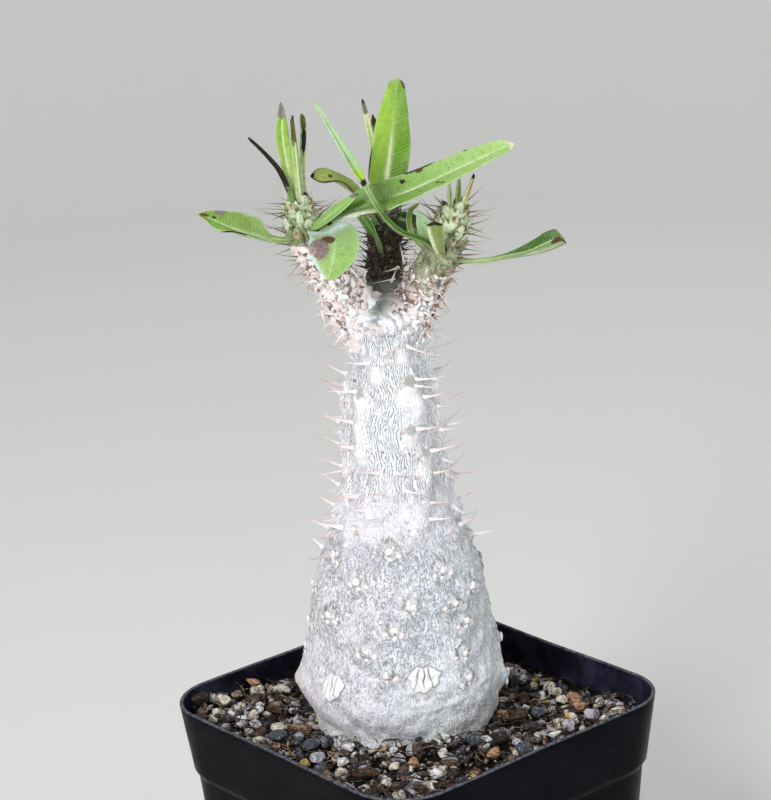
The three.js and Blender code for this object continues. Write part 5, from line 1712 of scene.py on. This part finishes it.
def scar_knobs(random):
    """White corky beads: a round one with crumbs about it in each old leaf scar, a pinkish one
    at each side where its spines stood, and a few grains scattered over the base."""
    groups = []

    def cluster(places, count, spread, small, large, tone):
        places = np.repeat(np.array(places, float), count, axis=0)
        shift = random.uniform(-spread, spread, places.shape)
        places = moved(places, shift[:, 0], shift[:, 1])
        size = random.uniform(small, large, len(places))
        groups.append((places, size, np.tile(tone, (len(places), 1))))

    cluster(SCAR_SITES + NECK_LUMPS, 1, 0.1, 0.85, 1.1, (0.97, 0.97, 0.95))
    cluster(SCAR_SITES + NECK_LUMPS, 3, 1.1, 0.25, 0.45, (0.96, 0.96, 0.94))
    cluster(moved(SCAR_SITES, 0, -2), 1, 0.4, 0.5, 0.8, (0.93, 0.93, 0.95))
    for hand in (-1, 1):
        kept = np.array(SCAR_SITES)[random.uniform(0, 1, len(SCAR_SITES)) < 0.85]
        cluster(moved(kept, hand * 2.3, -1.4), 1, 0.3, 0.65, 0.9, (0.95, 0.88, 0.88))
        cluster(moved(kept, hand * 2.4, -1.8), 2, 0.7, 0.22, 0.4, (0.94, 0.90, 0.90))
    strays = np.stack([random.uniform(-180, 180, 90), random.uniform(86, 150, 90)], axis=-1)
    cluster(strays, 1, 0.1, 0.15, 0.32, (0.93, 0.93, 0.93))
    places, size, tone = gathered(groups)
    foot, outward, sideways = on_bark(places[:, 0], places[:, 1], 0.1)
    lean = random.uniform(-0.6, 0.6, (len(size), 1))
    up = np.cross(sideways, outward)
    rings = domes(foot, outward, up + lean * sideways, size, 0.6 * size, random,
                  stretch=random.uniform(0.8, 1.3, len(size)), size=(5, 9))
    return rings, blended((0.34, 0.30, 0.28), tone[:, None, None], up_domes(rings, 0.05, 0.5))


def chalk_scars():
    """The large cracked scars: low flat discs with an uneven outline, at a share t of the way to
    the edge as high as (1 - t^5)^0.5, cut by cracks that fan out downwards and wander as sin 5y."""
    rings = []
    tones = []
    share = np.linspace(1, 0.02, 26)[:, None]
    turn = round_turn(72)
    edge = share * (1 + 0.07 * np.sin(3 * turn + 1) + 0.05 * np.sin(7 * turn) + 0.03 * np.sin(11 * turn))
    across, up = edge * np.cos(turn), edge * np.sin(turn)
    crack = sum(np.exp(-((across - start * (1 - 0.4 * up) - 0.03 * np.sin(5 * up + 9 * start)) / 0.04) ** 2)
                for start in CRACKS) * smoothstep(-1.1, -0.5, up + 0.5 * np.sin(5 * across))
    rim = smoothstep(0.93, 1, share * np.ones(crack.shape))
    for degrees, level, wide, tall in CHALK_SCARS:
        places = moved([[degrees, level]], (wide * across).ravel(), (tall * up).ravel())
        foot, outward, _ = on_bark(places[:, 0], places[:, 1])
        foot, outward = (v.reshape(26, 72, 3) for v in (foot, outward))
        lump, _ = folds(foot, 2.4, 42)
        rise = 1.15 * np.sqrt(np.clip(1 - share ** 5, 0, 1)) + 0.5 * lump - 0.5 * crack - 0.3
        rings.append(foot + outward * rise[..., None])
        # Painted shade: the cracks are darkened for the shade in them
        tone = blended((0.99, 0.99, 0.98), (0.24, 0.23, 0.23), np.clip(crack, 0, 1))
        tones.append(blended(tone, (0.34, 0.33, 0.34), rim))
    return np.array(rings), np.array(tones)


def caudex_piece(name, rings, tone, material):
    """One piece of the caudex made of many closed tubes given in the plant's axes."""
    points, faces = closed_tubes(planted(rings))
    piece = new_piece(name, points, faces, {"tone": point_values(tone)})
    settle(piece, material, "bark", "caudex")


def make_caudex(settings):
    """The caudex: trunk and branches, then knobs, scars and spines."""
    random = np.random.default_rng(settings.seed)
    cloud = leaf_cloud()
    bark = bark_skin()
    settle(make_trunk(), bark, "bark", "caudex")
    settle(make_branches(), bark, "bark", "caudex")
    wool, horn, cork = crown_wool(), spine_horn(), chalk()
    caudex_piece("caudex_tubercles", *crown_knobs(cloud, random), wool)
    caudex_piece("caudex_fork_knobs", *fork_knobs(random), cork)
    caudex_piece("caudex_crown_spines", *crown_spines(settings, cloud, random), horn)
    caudex_piece("caudex_neck_spines", *neck_spines(settings, cloud, random), horn)
    caudex_piece("caudex_fork_stubs", *fork_spines(random), horn)
    caudex_piece("caudex_scar_knobs", *scar_knobs(random), cork)
    caudex_piece("caudex_chalk_scars", *chalk_scars(), cork)


def blade_rows(leaf, steps, half_columns):
    """The sheet of a blade: along the curve through its knots, each half starts at the rib and
    goes outwards in equal steps whose slope grows from the fold by the curl at the edge. A skew
    makes one half wider and the other narrower by that share.
    Gives the points, the directions the sheet faces, and the place along and across."""
    line = curve_through(leaf.knots, steps)
    along = unit(np.gradient(line[:, :3], axis=0))
    face = np.asarray(leaf.face, float)
    face = unit(face - along * (along @ face)[:, None])
    across = np.cross(face, along)
    share = (np.arange(half_columns) + 0.5) / half_columns
    slope = np.radians(line[:, 4:5] + leaf.curl * share)
    halves = []
    for hand in (-1, 1):
        step = np.maximum(line[:, 3:4], 0.12) / half_columns * (1 + hand * leaf.skew)
        out = np.cumsum(step * np.cos(slope), axis=1)
        rise = np.cumsum(step * np.sin(slope), axis=1)
        sheet = (line[:, None, :3] + hand * across[:, None] * out[..., None]
                 + face[:, None] * rise[..., None])
        towards = (face[:, None] * np.cos(slope)[..., None]
                   - hand * across[:, None] * np.sin(slope)[..., None])
        halves.append((sheet, towards))
    points = np.concatenate([halves[0][0][:, ::-1], line[:, None, :3], halves[1][0]], axis=1)
    facing = np.concatenate([halves[0][1][:, ::-1], face[:, None], halves[1][1]], axis=1)
    length = np.concatenate([[0], np.cumsum(np.linalg.norm(np.diff(line[:, :3], axis=0), axis=1))])
    place = np.linspace(-1, 1, 2 * half_columns + 1)[None, :]
    return points, facing, length[:, None], place * line[:, 3:4], place


def leaf_tones(leaf, length, reach, place):
    """Colours over a blade, how dry it is and the colour of its dry parts. Greens run from the
    base to the tip with a pale rib and edge, and a mark is a bell about its place."""
    total = length[-1, 0]
    t = length / total * np.ones_like(place)
    base, tip = LEAF_TONES[leaf.tone]
    rib = np.exp(-(reach / (0.2 + 0.36 * (1 - t))) ** 2) * leaf.rib
    edge = smoothstep(0.9, 1, np.abs(place)) * smoothstep(0.1, 0.3, t)
    tone = layered(
        blended(base, tip, smoothstep(0.2, 0.95, t)),
        (0.85 * np.clip(rib, 0, 1), (0.74, 0.86, 0.54)),
        (0.6 * smoothstep(0.16, 0.02, t), (0.34, 0.45, 0.20)), (0.5 * edge, (0.62, 0.70, 0.45)),
    )
    dry = np.zeros(t.shape)
    dry_tone = np.zeros(t.shape + (3,)) + MARK_TONES["brown"]
    half = np.abs(reach).max(axis=1, keepdims=True)
    for kind, spot, side, long, wide in leaf.marks:
        away = ((length - spot * total) / long) ** 2 + ((reach - side * half) / wide) ** 2
        mark = np.exp(-away)
        if kind in FRESH_MARKS:
            tone = blended(tone, MARK_TONES[kind], np.clip(1.5 * mark, 0, 0.95))
            continue
        dry_tone = blended(dry_tone, MARK_TONES[kind], (mark > dry).astype(float))
        dry = np.maximum(dry, mark)
    return tone, dry, dry_tone


def leaf_blade():
    """Leaf skin: green with faint cross veins that slant from the rib to the edge, mottling, and
    dry patches whose ragged rim follows a noise."""
    finish = Finish("leaf_blade", {
        "Specular IOR Level": 0.25, "Subsurface Weight": 0.08, "Subsurface Scale": 0.001,
        "Subsurface Radius": (0.4, 1.0, 0.2),
    })
    across, along, _ = finish.parts(finish.read("way", "Vector"))
    slant = along - finish.math("ABSOLUTE", across) * 0.55
    phase = (slant + finish.noise(2.2, detail=3) * 1.6) * (2 * math.pi / VEIN_SPACING)
    vein = finish.ramp(finish.math("SINE", phase), 0.3, 1.0) * finish.value("veined")
    tone = finish.colour()
    mottle = finish.noise(1.3, detail=5, rough=0.65)
    shade = finish.mix(0.44, tone, (0.03, 0.08, 0.004))
    tone = finish.mix(finish.ramp(mottle, 0.3, 0.55, 0.35, 1), shade, tone)
    light = finish.ramp(finish.noise(0.6, detail=3), 0.55, 0.68)
    tone = finish.over(tone, (light * 0.14, (0.58, 0.78, 0.20)), (vein * 0.16, (0.62, 0.82, 0.36)))
    ragged = finish.value("dry") + (finish.noise(0.8, detail=4, rough=0.7) - 0.5) * 0.7
    dry = finish.ramp(ragged, 0.3, 0.52)
    crisp = finish.ramp(finish.noise(0.7, detail=4), 0.35, 0.65)
    worn = finish.mix(crisp, finish.mix(0.4, finish.colour("dry_tone"), (0.01, 0.008, 0.006)),
                      finish.colour("dry_tone"))
    relief = mottle * 0.5 - vein
    return finish.done(finish.mix(dry, tone, worn), finish.ramp(dry, 0, 1, 0.42, 0.75), relief, 0.08, 0.8)


def make_leaf(name, leaf, settings, material):
    """One leaf: the sheet of its blade moved half its thickness each way, thicker under the rib
    and thin at the edge, with rippled edges and a rounded tip, closed all round."""
    points, facing, length, reach, place = blade_rows(leaf, BLADE_STEPS, BLADE_COLUMNS)
    total = length[-1, 0]
    t = length / total
    ripple = leaf.ripple * np.abs(place) ** 2 * smoothstep(0.12, 0.35, t) * (
        np.sin(length / 3.1 + 2 * place) + 0.5 * np.sin(length / 1.35 + 5 * place))
    points = points + facing * ripple[..., None]
    tip = np.sqrt(np.clip((1 - t) / 0.035, 0.02, 1))
    middle = points[:, BLADE_COLUMNS, None]
    points = middle + (points - middle) * tip[..., None]
    body = settings.thickness / MM * (1 - 0.62 * np.abs(place) ** 3)
    ridge = 0.34 * np.exp(-(reach / 0.55) ** 2) * smoothstep(1, 0.5, t)
    groove = 0.16 * np.exp(-(reach / 0.4) ** 2) * leaf.rib
    upper = points + facing * (body / 2 - groove)[..., None]
    lower = points - facing * (body / 2 + ridge)[..., None]
    rings = np.concatenate([upper[:, ::-1], lower], axis=1)
    tone, dry, dry_tone = leaf_tones(leaf, length, reach, place)
    under = blended(tone, (0.40, 0.52, 0.30), np.full(dry.shape, 0.35))
    way = xyz(reach, length, 0)
    veined = smoothstep(1.2, 2.6, np.abs(reach).max(axis=1, keepdims=True)) * (
        1 - 0.7 * np.abs(place)) * np.ones_like(reach)

    def wrapped(over, below):
        return point_values(np.concatenate([over[:, ::-1], below], axis=1)[None])

    points, faces = closed_tubes(planted(rings)[None])
    piece = new_piece(name + "_blade", points, faces, {
        "tone": wrapped(tone, under), "dry": wrapped(dry, dry),
        "dry_tone": wrapped(dry_tone, dry_tone), "veined": wrapped(veined, 0.5 * veined),
        "way": wrapped(way, way),
    })
    slot = "dry_leaf" if name == "leaf_left_dry" else "leaf"
    settle(piece, material, slot, name)


def make_stage(settings):
    """A plain pale floor that curves up all round: a level disc, a quarter circle and a wall."""
    bend = np.linspace(0, math.pi / 2, 14)
    radius = np.concatenate([[0.02, 0.5, FLOOR_REACH], FLOOR_REACH + FLOOR_BEND * np.sin(bend),
                             [FLOOR_REACH + FLOOR_BEND]])[:, None]
    height = np.concatenate([[0, 0, 0], FLOOR_BEND * (1 - np.cos(bend)), [WALL_TOP]])[:, None]
    turn = round_turn(FLOOR_SIDES)
    rings = xyz(radius * np.cos(turn), radius * np.sin(turn), height)
    quads = closed_tubes(rings[None])[1][0]
    ring = np.arange(FLOOR_SIDES)
    middle = xyz(len(rings) * FLOOR_SIDES, ring, (ring + 1) % FLOOR_SIDES)
    points = np.concatenate([rings.reshape(-1, 3), [[0, 0, 0]]]) / MM
    floor = new_piece("stage_floor", points, [quads[:, ::-1], middle])
    plain = Finish("stage_paper", {
        "Base Color": (*settings.floor, 1), "Roughness": 0.9, "Specular IOR Level": 0.1,
    })
    floor.data.materials.append(plain.material)


def make_lights(settings):
    """A soft key from the upper left of the camera, a fill from its right and a top light."""
    lights = [
        ("key", -27, 30, 1.2, 0.42, settings.key, (0.985, 0.99, 1)),
        ("fill", 52, 12, 1.25, 1.0, settings.fill, (0.92, 0.96, 1)),
        ("top", 150, 66, 1.3, 0.9, settings.top, (1, 1, 1)),
    ]
    for name, turn, rise, distance, size, power, colour in lights:
        lamp = bpy.data.lights.new("light_" + name, "AREA")
        lamp.shape = "DISK"
        lamp.size = size
        lamp.energy = power
        lamp.color = colour
        holder = bpy.data.objects.new("light_" + name, lamp)
        bpy.context.scene.collection.objects.link(holder)
        right, up, back = look_from(settings.azimuth + math.radians(turn), math.radians(rise))
        set_place(holder, right, up, back, back * distance + [0, 0, LIGHTS_HEIGHT])
    world = bpy.data.worlds.new("studio")
    world.use_nodes = True
    sky = world.node_tree.nodes["Background"]
    sky.inputs["Color"].default_value = (0.95, 0.97, 1, 1)
    sky.inputs["Strength"].default_value = settings.ambient
    bpy.context.scene.world = world


def look_from(turn, rise):
    """The right, up and back directions of something that looks at the middle from there."""
    back = np.array([math.sin(turn) * math.cos(rise), -math.cos(turn) * math.cos(rise),
                     math.sin(rise)])
    right = np.array([math.cos(turn), math.sin(turn), 0])
    return right, np.cross(back, right), back


def set_place(holder, right, up, back, eye):
    """Puts an object at eye with its axes along right, up and back."""
    matrix = np.eye(4)
    matrix[:3, 0], matrix[:3, 1], matrix[:3, 2], matrix[:3, 3] = right, up, back, eye
    holder.matrix_world = matrix.T.tolist()


def make_camera(settings):
    """The photograph's camera: from the rim's centre back along the view, then across and up
    in the tilted picture plane."""
    right, up, back = look_from(settings.azimuth, settings.elevation)
    c, s = math.cos(settings.roll), math.sin(settings.roll)
    right, up = c * right + s * up, c * up - s * right
    lens = bpy.data.cameras.new("camera")
    lens.lens = settings.lens
    lens.sensor_width = SENSOR_WIDTH
    holder = bpy.data.objects.new("camera", lens)
    bpy.context.scene.collection.objects.link(holder)
    eye = (back * settings.distance + right * settings.shift_across
           + up * settings.shift_up + [0, 0, RIM_HEIGHT])
    set_place(holder, right, up, back, eye)
    bpy.context.scene.camera = holder
    bpy.context.scene.view_settings.view_transform = "Standard"


class PotSettings(bpy.types.PropertyGroup):
    wall: bpy.props.FloatProperty(
        name="Wall", description="Thickness of the pot's wall", default=WALL,
        subtype="DISTANCE", unit="LENGTH")
    colour: bpy.props.FloatVectorProperty(
        name="Colour", description="Colour of the plastic", default=(0.0028, 0.003, 0.0042),
        subtype="COLOR", min=0, max=1)
    dust: bpy.props.FloatProperty(
        name="Dust", description="How much dust lies on the plastic", default=0.06,
        subtype="FACTOR", min=0, max=1)


class SoilSettings(bpy.types.PropertyGroup):
    wall: bpy.props.FloatProperty(
        name="Wall", description="Thickness of the wall round the soil", default=WALL,
        subtype="DISTANCE", unit="LENGTH")
    level: bpy.props.FloatProperty(
        name="Level", description="Height of the soil's surface", default=0.0813,
        subtype="DISTANCE", unit="LENGTH")
    grains: bpy.props.IntProperty(
        name="Grains", description="How many large grains lie on the soil", default=620)
    crumbs: bpy.props.IntProperty(
        name="Crumbs", description="How many small grains lie on the soil", default=1700)
    chips: bpy.props.IntProperty(
        name="Chips", description="How many bark chips lie on the soil", default=110)
    twigs: bpy.props.IntProperty(
        name="Twigs", description="How many twigs lie on the soil", default=600)
    seed: bpy.props.IntProperty(
        name="Seed", description="Another number scatters the grit in another way", default=37)


class CaudexSettings(bpy.types.PropertyGroup):
    spine_length: bpy.props.FloatProperty(
        name="Neck spine", description="Length of a spine on the neck", default=0.0086,
        subtype="DISTANCE", unit="LENGTH")
    crown_spine: bpy.props.FloatProperty(
        name="Crown spine", description="Length of a spine on a branch", default=0.0076,
        subtype="DISTANCE", unit="LENGTH")
    splay: bpy.props.FloatProperty(
        name="Splay", description="Angle of a spine from straight out", default=math.radians(42),
        subtype="ANGLE", unit="ROTATION")
    seed: bpy.props.IntProperty(
        name="Seed", description="Another number varies the spines in another way", default=23)


class LeafSettings(bpy.types.PropertyGroup):
    thickness: bpy.props.FloatProperty(
        name="Thickness", description="Thickness of a leaf beside its rib", default=0.00062,
        subtype="DISTANCE", unit="LENGTH")


class StageSettings(bpy.types.PropertyGroup):
    azimuth: bpy.props.FloatProperty(
        name="Azimuth", description="Direction the camera stands in", subtype="ANGLE",
        default=PLANT_TURN, unit="ROTATION")
    elevation: bpy.props.FloatProperty(
        name="Elevation", description="How far the camera looks down", subtype="ANGLE",
        default=math.radians(17.33), unit="ROTATION")
    roll: bpy.props.FloatProperty(
        name="Roll", description="Tilt of the picture", subtype="ANGLE",
        default=math.radians(-3.19), unit="ROTATION")
    distance: bpy.props.FloatProperty(
        name="Distance", description="From the rim back to the camera", default=0.71944,
        subtype="DISTANCE", unit="LENGTH")
    shift_across: bpy.props.FloatProperty(
        name="Across", description="How far the camera stands to the right", default=-0.00832,
        subtype="DISTANCE", unit="LENGTH")
    shift_up: bpy.props.FloatProperty(
        name="Up", description="How far the camera stands above the rim's line", default=0.08059,
        subtype="DISTANCE", unit="LENGTH")
    lens: bpy.props.FloatProperty(
        name="Lens", description="Focal length of the camera in millimetres", default=117.98)
    floor: bpy.props.FloatVectorProperty(
        name="Floor", description="Colour of the floor", default=(0.88, 0.875, 0.86),
        subtype="COLOR", min=0, max=1)
    key: bpy.props.FloatProperty(
        name="Key", description="Power of the key light", default=10.3, unit="POWER")
    fill: bpy.props.FloatProperty(
        name="Fill", description="Power of the fill light", default=3.4, unit="POWER")
    top: bpy.props.FloatProperty(
        name="Top", description="Power of the top light", default=2.8, unit="POWER")
    ambient: bpy.props.FloatProperty(
        name="Ambient", description="Strength of the light from all round", default=0.34)


class PLANT_OT_stage(bpy.types.Operator):
    """Set up the floor, the lights and the camera"""
    bl_idname = "plant.stage"
    bl_label = "Stage"

    def execute(self, context):
        settings = context.scene.plant_stage
        make_camera(settings)
        make_lights(settings)
        make_stage(settings)
        return {"FINISHED"}


class PLANT_OT_pot(bpy.types.Operator):
    """Make the square nursery pot"""
    bl_idname = "plant.pot"
    bl_label = "Pot"

    def execute(self, context):
        make_pot(context.scene.plant_pot)
        return {"FINISHED"}


class PLANT_OT_soil(bpy.types.Operator):
    """Make the soil with its grit, bark chips and twigs"""
    bl_idname = "plant.soil"
    bl_label = "Soil"

    def execute(self, context):
        settings = context.scene.plant_soil
        make_soil_bed(settings)
        make_grit(settings)
        return {"FINISHED"}


class PLANT_OT_caudex(bpy.types.Operator):
    """Make the trunk, its branches, scars and spines"""
    bl_idname = "plant.caudex"
    bl_label = "Caudex"

    def execute(self, context):
        make_caudex(context.scene.plant_caudex)
        return {"FINISHED"}


class PLANT_OT_leaves(bpy.types.Operator):
    """Make the leaves"""
    bl_idname = "plant.leaves"
    bl_label = "Leaves"

    def execute(self, context):
        material = leaf_blade()
        for name, leaf in LEAVES.items():
            make_leaf(name, leaf, context.scene.plant_leaf, material)
        return {"FINISHED"}


SETTINGS = {
    "plant_pot": PotSettings, "plant_soil": SoilSettings, "plant_caudex": CaudexSettings,
    "plant_leaf": LeafSettings, "plant_stage": StageSettings,
}
OPERATORS = (PLANT_OT_stage, PLANT_OT_pot, PLANT_OT_soil, PLANT_OT_caudex, PLANT_OT_leaves)


class PLANT_PT_panel(bpy.types.Panel):
    """Lists the pieces of the plant and their settings"""
    bl_idname = "PLANT_PT_panel"
    bl_label = "Potted Pachypodium Gracilius"
    bl_space_type = "VIEW_3D"
    bl_region_type = "UI"
    bl_category = "Plant"

    def draw(self, context):
        for operator in OPERATORS:
            self.layout.operator(operator.bl_idname)
        for name, group in SETTINGS.items():
            box = self.layout.box()
            for key in group.__annotations__:
                box.prop(getattr(context.scene, name), key)


CLASSES = (*SETTINGS.values(), *OPERATORS, PLANT_PT_panel)


def register():
    for made in CLASSES:
        bpy.utils.register_class(made)
    for name, group in SETTINGS.items():
        setattr(bpy.types.Scene, name, bpy.props.PointerProperty(type=group))


def unregister():
    for name in SETTINGS:
        delattr(bpy.types.Scene, name)
    for made in reversed(CLASSES):
        bpy.utils.unregister_class(made)


def main():
    """Builds everything in order."""
    register()
    bpy.ops.plant.stage()
    bpy.ops.plant.pot()
    bpy.ops.plant.soil()
    bpy.ops.plant.caudex()
    bpy.ops.plant.leaves()


if __name__ == "__main__":
    main()
